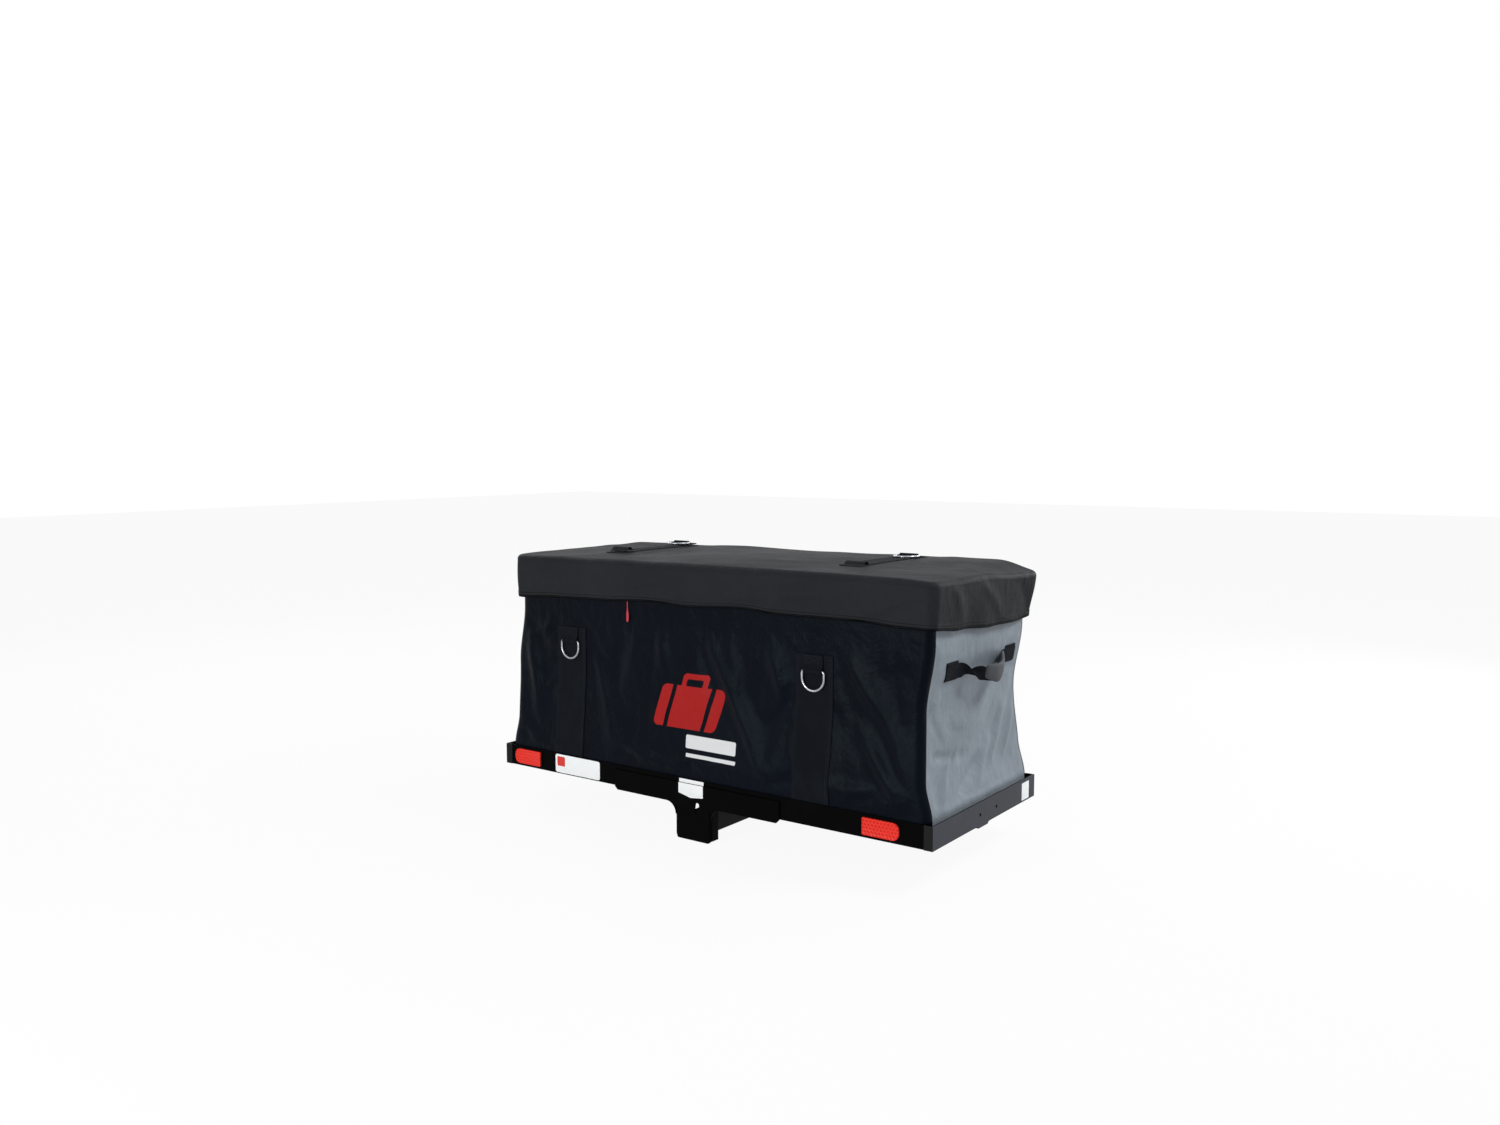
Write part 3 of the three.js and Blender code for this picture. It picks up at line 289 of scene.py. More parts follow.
def powder_coat(name, tint, rough, gloss, face=None):
    """Baked paint: a fine orange peel, a little dust, and a few brighter rubbed specks. When face
    is given, the face towards the front has that colour and the other faces have tint, which is
    then painted light: a lighter copy of the same paint that stands for the light falling on those
    faces."""
    coat = Finish(name, roughness=rough, specular_ior_level=gloss)
    place = coat.place()
    peel = coat.speckle(place, 900, 2)
    dust = coat.speckle(place, 14, 5, 0.6).step(0.45, 0.72)
    rub = coat.speckle(coat.stretch(place, (1, 1, 4)), 60, 6, 0.7).step(0.66, 0.74)
    tone = coat.mix(rub * 0.5, coat.shade(tint, dust, 0.85, 1.3), [v * 1.6 + 0.004 for v in tint])
    if face is not None:
        depth = coat.parts(place)[1]
        tone = coat.mix(depth.step(RAIL_LOW.y + 0.0004, RAIL_LOW.y + 0.0016), face, tone)
    return coat.wear(base_color=tone, roughness=rough + dust * 0.12 - rub * 0.08,
                     normal=coat.relief(peel, 0.00025, 0.5))


def plated(name, tint, rough):
    """Plated wire or hardware with faint drawing marks."""
    metal = Finish(name, metallic=1.0, roughness=rough)
    place = metal.place()
    marks = metal.speckle(metal.stretch(place, (1, 1, 0.2)), 700, 3)
    haze = metal.speckle(place, 90, 4).step(0.35, 0.75)
    return metal.wear(base_color=metal.shade(tint, haze, 0.82, 1.05),
                      roughness=rough + haze * 0.14,
                      normal=metal.relief(marks, 0.0001, 0.35))


def coated_cloth(name, tint, weave=0.0013, rough=0.32, gloss=0.048):
    """Coated basket weave, with the soft crumple that such cloth keeps from being folded."""
    cloth = Finish(name, roughness=rough, specular_ior_level=gloss,
                   specular_tint=(0.72, 0.90, 1.0))
    place = cloth.place()
    u, v = cloth.along()
    threads = u.wave(weave) * v.wave(weave)
    slub = cloth.speckle(cloth.stretch(place, (1, 1, 3)), 240, 3)
    crumple = cloth.speckle(place, 9, 7, 0.55, 0.6)
    crease = cloth.speckle(cloth.stretch(place, (1, 1, 0.6)), 26, 5, 0.6, 1.2)
    dust = cloth.speckle(place, 4, 6, 0.65).step(0.35, 0.7)
    tone = cloth.shade(tint, dust * 0.55 + slub * 0.3 + threads * 0.12, 0.84, 1.2)
    soft = cloth.relief(crumple + crease * 0.35, 0.012, 0.5)
    fine = cloth.relief(threads * 0.5 + slub * 0.6, 0.00014, 0.6, soft)
    cloth.wear(roughness=rough + dust * 0.1 - slub * 0.06, normal=fine)
    return cloth, tone, place


def plain_cloth(name, tint, **settings):
    cloth, tone, _ = coated_cloth(name, tint, **settings)
    return cloth.wear(base_color=tone)


def webbing_finish(name, tint):
    """Ribbed narrow webbing: ribs along it, small picks across them and fluffy worn edges. Its
    colour has painted shade in the grooves between ribs and picks and painted highlight on their
    crests.
    """
    web = Finish(name, roughness=0.6, specular_ior_level=0.06)
    place = web.place()
    u, v = web.along()
    ribs = abs(u.wave(0.0046))
    picks = (v + ribs * 0.0006).wave(0.0018)
    fluff = web.speckle(place, 420, 4)
    worn = web.speckle(place, 22, 5, 0.6).step(0.42, 0.7)
    # Painted shade and highlight follow the ribs and picks; the worn patches are real wear.
    tone = web.shade(tint, ribs * 0.35 + picks * 0.12 + worn * 0.35, 0.7, 1.5)
    height = ribs * 0.7 + picks * 0.3 + fluff * 0.35
    return web.wear(base_color=tone, roughness=0.84 - ribs * 0.08,
                    normal=web.relief(height, 0.0007, 0.8))


def hem_shaded_cloth(name, tint, hem_shade, **settings):
    """Coated cloth with painted shade along its hem: a dark band along its lower edge and a thin
    dark line where the turned hem ends, both in the given dark colour.
    """
    cloth, tone, _ = coated_cloth(name, tint, **settings)
    _, v = cloth.along()
    # Painted shade: the lowest few millimetres of the cloth take the dark colour, standing for the
    # shade along the hem.
    tape = 1 - v.step(0.0058, 0.0068)
    # Painted shade: a thin dark line where the turned hem ends.
    crease = v.step(0.0105, 0.0115) * (1 - v.step(0.0125, 0.0135))
    shown = cloth.mix(crease * 0.55, tone, hem_shade)
    return cloth.wear(base_color=cloth.mix(tape, shown, hem_shade))


def rounded_patch(x, z, middle, half, corner):
    """1 inside a rounded rectangle of the X Z plane and 0 outside it."""
    across = (abs(x - middle[0]) - (half[0] - corner)).most(0)
    up = (abs(z - middle[1]) - (half[1] - corner)).most(0)
    away = (across * across + up * up).join("SQRT") - corner
    return 1 - away.step(-0.0006, 0.0006)


def printed_cloth(name, tint, red, white):
    """The front wall's cloth, with a plain red luggage sign and white bars printed on it."""
    cloth, tone, place = coated_cloth(name, tint)
    x, _, z = cloth.parts(place)
    slanted = x - (z - SIGN[1]) * 0.3

    def patch(across, right, up, half, corner):
        return rounded_patch(across, z, (SIGN[0] + right, SIGN[1] + up), half, corner)

    case = patch(slanted, 0, 0, (0.090, 0.050), 0.014)
    handle = patch(slanted, 0, 0.054, (0.036, 0.026), 0.010)
    hollow = patch(slanted, 0, 0.051, (0.023, 0.016), 0.005)
    bands = [patch(slanted, side * 0.054, 0, (0.006, 0.060), 0.001) for side in (-1, 1)]
    sign = case.most(handle * (1 - hollow)) * (1 - bands[0]) * (1 - bands[1])
    bar = patch(x, 0.067, -0.077, (0.071, 0.0155), 0.004)
    line = patch(x, 0.069, -0.108, (0.071, 0.0042), 0.002)
    flecks = cloth.speckle(place, 380, 4).step(0.20, 0.32)
    inked = cloth.mix(sign * flecks, tone, red)
    return cloth.wear(base_color=cloth.mix(bar.most(line) * flecks, inked, white))


def lens_finish(name, tint):
    """A moulded reflector: honeycomb cells under a clear face. It has a faint painted glow from
    emission, strongest on the cell walls, which also carry a painted highlight.
    """
    lens = Finish(name, roughness=0.2, specular_ior_level=0.08, coat_weight=0.08,
                  coat_roughness=0.06, emission_strength=0.12)
    x, _, z = lens.parts(lens.place())
    cell = 0.0085
    tall = cell * math.sqrt(3)

    def cells(shift):
        across = abs((x / cell + shift).join("FRACT") - 0.5) * cell
        up = abs((z / tall + shift).join("FRACT") - 0.5) * tall
        return across.most(across * 0.5 + up * (math.sqrt(3) / 2))

    edge = cells(0).least(cells(0.5))
    wall = edge.step(cell * 0.40, cell * 0.49)
    tone = lens.mix(wall, tint, [min(value * 1.25 + 0.03, 1) for value in tint])
    # Painted glow: the lens shines through emission, most along the cell walls.
    return lens.wear(base_color=tone, emission_color=lens.mix(wall, tint, (1, 0.14, 0.07)),
                     normal=lens.relief(1 - edge * (2 / cell), 0.0012, 0.7))


def plain_finish(name, tint, rough, grain, depth, **settings):
    """One moulded or printed colour with a little grain and soiling."""
    skin = Finish(name, roughness=rough, **settings)
    place = skin.place()
    specks = skin.speckle(place, grain, 4)
    soil = skin.speckle(place, 18, 5, 0.6).step(0.5, 0.8)
    return skin.wear(base_color=skin.shade(tint, 0.8 - soil * 0.5 + specks * 0.2, 0.86, 1.04),
                     roughness=rough + soil * 0.1, normal=skin.relief(specks, depth, 0.4))


SIGN = (-0.026, 0.212 + PAN_LOW.z)
RAIL_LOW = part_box("end_rail_right")[0]
FINISHES = {}


def mix_finishes():
    """Makes the materials that the pieces wear."""
    tints = colours()
    FINISHES.update({
        "paint": powder_coat("black_powder_coat", tints.paint, 0.42, 0.02),
        # The end rails wear a painted-light copy of the black paint: the slate tint on their lit
        # faces, black on the front.
        "rail_painted_light": powder_coat("rail_coat_painted_light", tints.rail_painted_light, 0.5, 0.15, tints.paint),
        "tube": powder_coat("tube_powder_coat", tints.tube, 0.45, 0.06),
        "zinc": plated("zinc_plating", tints.zinc, 0.24),
        "dark_metal": plated("black_nickel", linear(70, 72, 76), 0.35),
        "lens": lens_finish("reflector_lens", tints.red),
        "navy": plain_cloth("navy_coated_cloth", tints.navy),
        "printed": printed_cloth("printed_navy_cloth", tints.navy, tints.print_red,
                                 [value * 0.8 for value in tints.white]),
        "grey": plain_cloth("grey_coated_cloth", tints.grey, gloss=0.16, rough=0.5),
        "charcoal": plain_cloth("charcoal_coated_cloth", tints.charcoal, gloss=0.03, rough=0.5),
        # The skirt takes the black paint colour as painted shade along its hem.
        "skirt": hem_shaded_cloth("charcoal_cloth_hem_shade", tints.charcoal, tints.paint, gloss=0.03,
                             rough=0.5),
        "webbing": webbing_finish("black_webbing", tints.webbing),
        "lid_webbing": webbing_finish("charcoal_webbing", [v * 0.8 for v in tints.charcoal]),
        "grip": plain_cloth("grip_cloth", tints.grip, weave=0.0022, gloss=0.1, rough=0.7),
        "thread": plain_finish("polyester_thread", [v * 2 + 0.014 for v in tints.webbing], 0.6,
                               900, 0.0002, specular_ior_level=0.1),
        "pull": plain_finish("pull_cord", tints.crimson, 0.5, 700, 0.0003),
        "label": plain_finish("label_film", tints.white, 0.35, 500, 0.0001),
        "label_red": plain_finish("label_red_ink", tints.red, 0.4, 500, 0.0001),
        "zip": zip_finish("zip_coil", linear(26, 27, 30)),
    })


def zip_finish(name, tint):
    """The meshed teeth of a coil zip, as ribs across it, with painted shade between the teeth and
    painted highlight on them.
    """
    coil = Finish(name, roughness=0.45, specular_ior_level=0.4)
    x, y, _ = coil.parts(coil.place())
    teeth = (x + y).wave(0.0024)
    # Painted shade and highlight: darker between the teeth, lighter on them.
    return coil.wear(base_color=coil.shade(tint, teeth * 0.5 + 0.5, 0.5, 1.6),
                     normal=coil.relief(teeth, 0.0008, 0.8))


# Modelling by hand
WELD = 1e-5
CLOTH_CREASE = 50


def only(piece):
    if bpy.context.object and bpy.context.object.mode != "OBJECT":
        bpy.ops.object.mode_set(mode="OBJECT")
    bpy.ops.object.select_all(action="DESELECT")
    piece.hide_set(False)
    piece.select_set(True)
    bpy.context.view_layer.objects.active = piece


def started(name):
    """Names the primitive that was just added."""
    piece = bpy.context.object
    piece.name = piece.data.name = name
    return piece


def finish_with(piece, kind, **settings):
    modifier = piece.modifiers.new(kind, kind)
    for key, value in settings.items():
        setattr(modifier, key, value)
    only(piece)
    bpy.ops.object.modifier_apply(modifier=modifier.name)


def edited(piece):
    """Opens a piece for editing with all of it selected."""
    only(piece)
    bpy.ops.object.mode_set(mode="EDIT")
    bpy.ops.mesh.select_all(action="SELECT")


def smoothed(piece, degrees):
    """Shades a piece smooth, apart from edges sharper than the angle."""
    only(piece)
    bpy.ops.object.shade_smooth_by_angle(angle=math.radians(degrees))
    return piece


def closed_tube(piece):
    """Joins the long edges of a grid that was laid as a tube, and caps its two ends."""
    edited(piece)
    bpy.ops.mesh.remove_doubles(threshold=WELD)
    bpy.ops.mesh.select_all(action="DESELECT")
    bpy.ops.mesh.select_mode(type="EDGE")
    bpy.ops.mesh.select_non_manifold()
    bpy.ops.mesh.edge_face_add()
    bpy.ops.mesh.select_all(action="SELECT")
    bpy.ops.mesh.normals_make_consistent(inside=False)
    bpy.ops.object.mode_set(mode="OBJECT")


def shaped(piece, points):
    piece.data.vertices.foreach_set("co", [value for point in points for value in point])
    piece.data.update()


def lengths_along(points):
    """How far each point of a line is from its start, along the line."""
    lengths = [0.0]
    for start, end in zip(points, points[1:]):
        lengths.append(lengths[-1] + (end - start).length)
    return lengths


def laid_grid(name, columns, rows, place):
    """Cloth laid as a grid: place(i, j) gives its corners in the tray's frame, in metres, with
    columns to the right and rows up as seen from outside. Its UVs are metres along the cloth."""
    bpy.ops.object.select_all(action="DESELECT")
    bpy.ops.mesh.primitive_grid_add(x_subdivisions=columns, y_subdivisions=rows, size=1)
    piece = started(name)
    keys = [(round((v.co.x + 0.5) * columns), round((v.co.y + 0.5) * rows))
            for v in piece.data.vertices]
    points = {key: Vector(place(*key)) + TRAY for key in keys}
    shaped(piece, [points[key] for key in keys])
    across = lengths_along([points[i, rows // 2] for i in range(columns + 1)])
    up = lengths_along([points[columns // 2, j] for j in range(rows + 1)])
    layer = piece.data.uv_layers[0].data
    for loop in piece.data.loops:
        i, j = keys[loop.vertex_index]
        layer[loop.index].uv = (across[i], up[j])
    piece["flat_width"], piece["flat_length"] = across[-1], up[-1]
    return piece


def sewn(piece, thickness, levels=1, merge=False):
    """Rounds the cloth and gives it its thickness, inwards from the outer face."""
    if merge:
        edited(piece)
        bpy.ops.mesh.remove_doubles(threshold=WELD)
        bpy.ops.object.mode_set(mode="OBJECT")
    if levels:
        finish_with(piece, "SUBSURF", levels=levels, render_levels=levels)
    finish_with(piece, "SOLIDIFY", thickness=thickness, offset=-1)
    return smoothed(piece, CLOTH_CREASE)


def dressed(piece, finish, body, slot, *nodes):
    """Gives a piece its finish and body, and hides the CAD nodes it stands for. Its slot is not
    used.
    """
    piece.data.materials.clear()
    piece.data.materials.append(FINISHES[finish])
    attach(piece, body)
    if nodes:
        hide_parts(*nodes)
    return piece


def cloth_sheet(piece, finish, slot, nodes, held, rests_on, *sewing, merge=False):
    dressed(sewn(piece, *sewing, merge=merge), finish, "carrier", slot, *nodes)
    return piece


def settled(piece, held, slack, cap, frames=18):
    """Lets cloth buckle between its seams. held picks the points that are sewn down, slack is the
    share by which the cut is too long, and no point moves further than cap."""
    rest = [vertex.co.copy() for vertex in piece.data.vertices]
    group = piece.vertex_groups.new(name="seams")
    for vertex in piece.data.vertices:
        share = held(vertex.co - TRAY)
        if share > 0:
            group.add([vertex.index], share, "REPLACE")
    only(piece)
    cloth = piece.modifiers.new("Cloth", "CLOTH")
    settings = cloth.settings
    settings.quality = 6
    settings.mass = 0.35
    settings.tension_stiffness = settings.compression_stiffness = 18
    settings.shear_stiffness = 8
    settings.bending_stiffness = 1.2
    settings.shrink_min = -slack
    settings.vertex_group_mass = "seams"
    settings.effector_weights.gravity = 0.25
    cloth.collision_settings.use_collision = False
    cloth.point_cache.frame_start, cloth.point_cache.frame_end = 1, frames
    for step in range(1, frames + 1):
        bpy.context.scene.frame_set(step)
    bpy.ops.object.modifier_apply(modifier=cloth.name)
    points = []
    for start, vertex in zip(rest, piece.data.vertices):
        moved = vertex.co - start
        points.append(start + moved * (cap / max(moved.length, cap)))
    shaped(piece, points)
    piece.vertex_groups.clear()
    bpy.context.scene.frame_set(1)
    return piece


# Walls of the bag, in the tray's frame
SAG_SHIFT = -0.009
RIM_SHIFT = 0.010
STRIP_XS = {"left": -0.395, "right": 0.314}
STRIP_TOP = 0.369
PULL_END = 0.396
BAG_FLOOR = 0.0023
TRAY_RIM = 0.0508


def lean(z):
    rim = smooth(0.268, 0.410, z)
    return SAG_SHIFT * smooth(0.096, 0.268, z) * (1 - rim) + RIM_SHIFT * rim


def wall_halves(z):
    size = sizes()
    along = lerp(size.foot_length, size.wall_length, smooth(TRAY_RIM, 0.130, z))
    deep = lerp(size.foot_depth, size.wall_depth, smooth(0.096, 0.262, z))
    return along / 2, deep / 2


# Folds that the cloth has taken: wall, start, end, width and height, and how much steeper the
# lower side is than the upper one
FOLDS = {
    "front": [
        ((0.010, 0.400), (0.188, 0.099), 0.026, 0.0130, 0.55),
        ((0.080, 0.380), (0.110, 0.300), 0.016, 0.0043, 0.5),
        ((0.187, 0.388), (0.262, 0.225), 0.024, 0.0109, 0.55),
        ((0.262, 0.225), (0.290, 0.095), 0.018, 0.0080, 0.6),
        ((0.370, 0.400), (0.500, 0.225), 0.030, 0.0145, 0.5),
        ((0.500, 0.225), (0.560, 0.110), 0.024, 0.0123, 0.5),
        ((0.430, 0.215), (0.520, 0.088), 0.020, 0.0116, 0.5),
        ((0.520, 0.330), (0.556, 0.220), 0.014, 0.0058, 0.5),
        ((-0.490, 0.352), (-0.436, 0.385), 0.016, 0.0058, 0.6),
        ((-0.540, 0.330), (-0.505, 0.150), 0.030, 0.0087, 0.6),
        ((-0.300, 0.300), (-0.250, 0.120), 0.036, 0.0051, 0.7),
        ((-0.130, 0.390), (-0.080, 0.300), 0.030, 0.0043, 0.7),
    ],
    "rear": [
        ((-0.060, 0.390), (-0.230, 0.100), 0.032, 0.0091, 0.6),
        ((0.260, 0.380), (0.150, 0.120), 0.030, 0.0077, 0.6),
        ((-0.500, 0.330), (-0.540, 0.140), 0.028, 0.0063, 0.6),
        ((0.430, 0.330), (0.520, 0.120), 0.028, 0.0070, 0.6),
    ],
    "right": [
        ((-0.215, 0.066), (-0.096, 0.161), 0.011, -0.0075, 0.8),
        ((-0.110, 0.152), (0.010, 0.232), 0.012, -0.0060, 0.8),
        ((-0.112, 0.070), (0.020, 0.134), 0.011, -0.0070, 0.8),
        ((0.006, 0.127), (0.120, 0.210), 0.012, -0.0060, 0.8),
        ((-0.225, 0.135), (-0.170, 0.172), 0.011, -0.0060, 0.8),
        ((-0.184, 0.171), (-0.100, 0.160), 0.010, -0.0070, 0.8),
        ((-0.185, 0.054), (-0.112, 0.156), 0.015, 0.0095, 0.45),
        ((-0.112, 0.156), (0.056, 0.262), 0.022, 0.0115, 0.5),
        ((-0.076, 0.150), (-0.040, 0.158), 0.012, -0.0061, 1.0),
        ((0.001, 0.085), (0.080, 0.180), 0.018, 0.0095, 0.5),
        ((0.080, 0.117), (0.150, 0.230), 0.018, 0.0081, 0.5),
        ((0.149, 0.121), (0.205, 0.220), 0.014, 0.0068, 0.5),
        ((-0.212, 0.268), (-0.165, 0.292), 0.010, 0.0054, 0.8),
        ((-0.130, 0.296), (0.150, 0.300), 0.026, -0.0047, 1.0),
        ((-0.200, 0.345), (0.030, 0.310), 0.020, 0.0041, 0.7),
    ],
    "left": [
        ((0.170, 0.070), (0.080, 0.165), 0.020, 0.0068, 0.5),
        ((0.080, 0.165), (-0.080, 0.262), 0.026, 0.0081, 0.5),
        ((-0.020, 0.080), (-0.150, 0.210), 0.022, 0.0061, 0.5),
        ((-0.212, 0.250), (-0.180, 0.290), 0.012, 0.0034, 0.8),
    ],
}


def fold_height(folds, along, z):
    height = 0.0
    for start, end, width, rise, steep in folds:
        run = Vector(end) - Vector(start)
        from_start = Vector((along, z)) - Vector(start)
        share = min(max(from_start.dot(run) / run.length_squared, 0), 1)
        away = from_start - run * share
        side = 1 if run.x * away.y - run.y * away.x > 0 else steep
        fade = math.sin(math.pi * min(max(0.12 + 0.76 * share, 0), 1))
        height += rise * fade * math.exp(-(away.length / (width * side)) ** 2)
    return height


def fold_share(wall, along, z):
    """The cloth lies flat under the ring patches, behind the zip's pull and at the tray's rim."""
    share = smooth(TRAY_RIM, 0.100, z) * (1 - smooth(0.350, PULL_END, z))
    if wall in ("front", "rear"):
        for x in STRIP_XS.values():
            aside = smooth(0.051, 0.097, abs(along - x))
            below = 1 - smooth(0.215, 0.268, z)
            share = min(share, max(aside, below))
    return share


def on_corner(centre, facing, reach, z):
    return Vector((centre[0] + reach * math.cos(facing), centre[1] + reach * math.sin(facing), z))


CORNER_COLUMNS = 6
LONG_COLUMNS = 108
END_COLUMNS = 68
LONG_ROWS = {"front": 46, "rear": 54}
END_ROWS = 62
SEAM_GAP = 0.0003


def long_wall_point(wall, i, z):
    """A point of a long wall with both its corners, i columns along from its left as seen."""
    size = sizes()
    half_x, half_y = wall_halves(z)
    flip = 1 if wall == "front" else -1
    corner = size.wall_corner
    reach = half_x - corner
    facing = FRONT if wall == "front" else REAR
    if i <= CORNER_COLUMNS:
        turn = facing - (1 - i / CORNER_COLUMNS) * math.pi / 2
        centre = (lean(z) - flip * reach, -flip * (half_y - corner))
        return on_corner(centre, turn, corner, z)
    if i >= CORNER_COLUMNS + LONG_COLUMNS:
        turn = facing + (i - CORNER_COLUMNS - LONG_COLUMNS) / CORNER_COLUMNS * math.pi / 2
        centre = (lean(z) + flip * reach, -flip * (half_y - corner))
        return on_corner(centre, turn, corner, z)
    share = (i - CORNER_COLUMNS) / LONG_COLUMNS
    x = lean(z) + flip * lerp(-reach, reach, share)
    rise = fold_height(FOLDS[wall], x, z) * fold_share(wall, x, z)
    rise *= smooth(0, 0.03, share) * (1 - smooth(0.97, 1, share))
    return Vector((x, -flip * (half_y + rise), z))


def end_wall_point(wall, i, z):
    """A point of an end wall, i columns along from its left as seen."""
    half_x, half_y = wall_halves(z)
    sign = 1 if wall == "right" else -1
    reach = half_y - sizes().wall_corner - SEAM_GAP
    share = i / END_COLUMNS
    y = sign * lerp(-reach, reach, share)
    rise = fold_height(FOLDS[wall], y, z) * fold_share(wall, y, z)
    rise *= smooth(0, 0.06, share) * (1 - smooth(0.94, 1, share))
    return Vector((lean(z) + sign * (half_x + rise), y, z))


def wall_held(wall):
    """How firmly each point of a wall is sewn down or pressed flat."""
    def held(point):
        half_x, half_y = wall_halves(point.z)
        is_long = wall in ("front", "rear")
        across = point.x - lean(point.z) if is_long else point.y
        at_corner = 1 - smooth(0.022, 0.050, (half_x if is_long else half_y) - abs(across))
        in_tray = 1 - smooth(0.055, 0.075, point.z)
        at_zip = smooth(0.385, 0.405, point.z)
        firm = max(at_corner, in_tray, at_zip)
        if is_long:
            for x in STRIP_XS.values():
                on_strip = 1 - smooth(0.049, 0.060, abs(point.x - x))
                firm = max(firm, on_strip * smooth(0.16, 0.22, point.z))
        else:
            on_patch = smooth(0.308, 0.318, point.z) * (1 - smooth(0.374, 0.384, point.z))
            firm = max(firm, on_patch * smooth(0.110, 0.125, abs(point.y - HANDLE_Y)))
        return firm
    return held


def wall_panels():
    """The four walls, each sewn to its neighbours and to the zip above."""
    size = sizes()
    made = {}
    for wall, rows in LONG_ROWS.items():
        def place(i, j):
            at = long_wall_point(wall, i, size.wall_top)
            top = size.wall_top if wall == "front" else lid_under(at.x, at.y)
            return long_wall_point(wall, i, lerp(BAG_FLOOR, top, j / rows))

        panel = laid_grid(f"{wall}_wall", LONG_COLUMNS + 2 * CORNER_COLUMNS, rows, place)
        settled(panel, wall_held(wall), slack=0.012, cap=0.004)
        made[wall] = cloth_sheet(panel, "printed" if wall == "front" else "navy", "cloth_navy",
                                 [f"{wall}_panel"], "stretched", "tray_pan", size.cloth)
    for wall in ("left", "right"):
        panel = laid_grid(f"{wall}_end_wall", END_COLUMNS, END_ROWS, lambda i, j: end_wall_point(
            wall, i, lerp(BAG_FLOOR, size.wall_top, j / END_ROWS)))
        settled(panel, wall_held(wall), slack=0.004, cap=0.0025)
        made[wall] = cloth_sheet(panel, "grey", "cloth_grey", [f"end_panel_{wall}"],
                                 "stretched", "tray_pan", size.cloth)
    return made


def floor_panel():
    """The bag's floor, laid on the tray with the slight waves of cloth that lies free."""
    low, high = [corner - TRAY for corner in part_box("base_panel")]
    columns, rows = 60, 26

    def place(i, j):
        x, y = lerp(low.x, high.x, i / columns), lerp(low.y, high.y, j / rows)
        return Vector((x, y, high.z - 0.0002 + 0.0006 * math.sin(31 * x) * math.sin(23 * y)))

    cloth_sheet(laid_grid("floor_panel", columns, rows, place), "navy", "cloth_navy",
                ["base_panel"], "laid", "tray_pan", sizes().cloth)


WALLS = {}


def dropped_onto(piece, point, way, lift):
    """Where a point lands on a piece when it is moved along way, lifted off it a little."""
    bpy.context.view_layer.update()
    hit, place, _, _ = piece.ray_cast(point + TRAY, Vector(way))
    if not hit:
        raise RuntimeError(f"nothing of {piece.name} is behind {tuple(point)}")
    return place - TRAY - Vector(way) * lift


# Stitching
def stitched(name, lines, pitch=0.0042, thick=0.0009):
    """Rows of stitches: each line is a list of points with the way that its cloth faces."""
    bpy.ops.object.select_all(action="DESELECT")
    bpy.ops.mesh.primitive_ico_sphere_add(subdivisions=1, radius=1)
    one = bpy.context.object
    shape = [vertex.co.copy() for vertex in one.data.vertices]
    faces = [list(face.vertices) for face in one.data.polygons]
    bpy.data.objects.remove(one)
    points, corners = [], []
    for line in lines:
        spare = pitch / 2
        for (start, facing), (end, _) in zip(line, line[1:]):
            run = end - start
            way = run.normalized()
            side = facing.cross(way).normalized()
            while spare < run.length:
                middle = start + way * spare + TRAY
                first = len(points)
                points += [middle + way * (c.x * pitch * 0.38) + side * (c.y * thick / 2)
                           + facing * (c.z * thick * 0.42) for c in shape]
                corners += [[first + k for k in face] for face in faces]
                spare += pitch
            spare -= run.length
    mesh = bpy.data.meshes.new(name)
    mesh.from_pydata(points, [], corners)
    piece = bpy.data.objects.new(name, mesh)
    bpy.context.scene.collection.objects.link(piece)
    only(piece)
    bpy.ops.object.shade_smooth()
    return dressed(piece, "thread", "carrier", "webbing")


STITCH_LIFT = 0.0004
STRIP_TUCK = 0.052
SEAM_INSET = 0.003


def on_long_wall(wall, x, z, lift):
    """A point on a long wall's cloth, lifted off it."""
    flip = 1 if wall == "front" else -1
    return dropped_onto(WALLS[wall], Vector((x, -flip * 0.4, z)), (0, flip, 0), lift)


def crossed_box(u0, u1, v0, v1):
    """The two lines of a sewn box with a cross in it."""
    return ([(u0, v0), (u1, v0), (u1, v1), (u0, v1), (u0, v0), (u1, v1)], [(u1, v0), (u0, v1)])


def wall_strips():
    """Webbing down the long walls, sewn along both edges and across its top by two rows."""
    size = sizes()
    half = size.strip_width / 2
    columns, rows, knots = 10, 64, 60
    above = size.webbing + STITCH_LIFT
    for wall, flip in (("front", 1), ("rear", -1)):
        facing = Vector((0, -flip, 0))
        lines = []
        for side, middle in STRIP_XS.items():
            def place(i, j):
                return on_long_wall(wall, middle + flip * lerp(-half, half, i / columns),
                                    lerp(STRIP_TUCK, STRIP_TOP, j / rows),
                                    size.webbing + SEAM_GAP)

            strip = laid_grid(f"{wall}_strip_{side}_webbing", columns, rows, place)
            dressed(sewn(strip, size.webbing, 0), "webbing", "carrier", "webbing",
                    f"{wall}_strip_{side}")
            for inset in (SEAM_INSET, 0.0075):
                for edge in (-1, 1):
                    x = middle + edge * (half - inset)
                    heights = [lerp(STRIP_TUCK, STRIP_TOP - SEAM_INSET, k / knots)
                               for k in range(knots + 1)]
                    lines.append([(on_long_wall(wall, x, z, above), facing) for z in heights])
            for drop in (SEAM_INSET, 0.009):
                xs = [middle + share * (half - SEAM_INSET) for share in (-1, -0.5, 0, 0.5, 1)]
                lines.append([(on_long_wall(wall, x, STRIP_TOP - drop, above), facing)
                              for x in xs])
        stitched(f"{wall}_strip_stitching", lines)


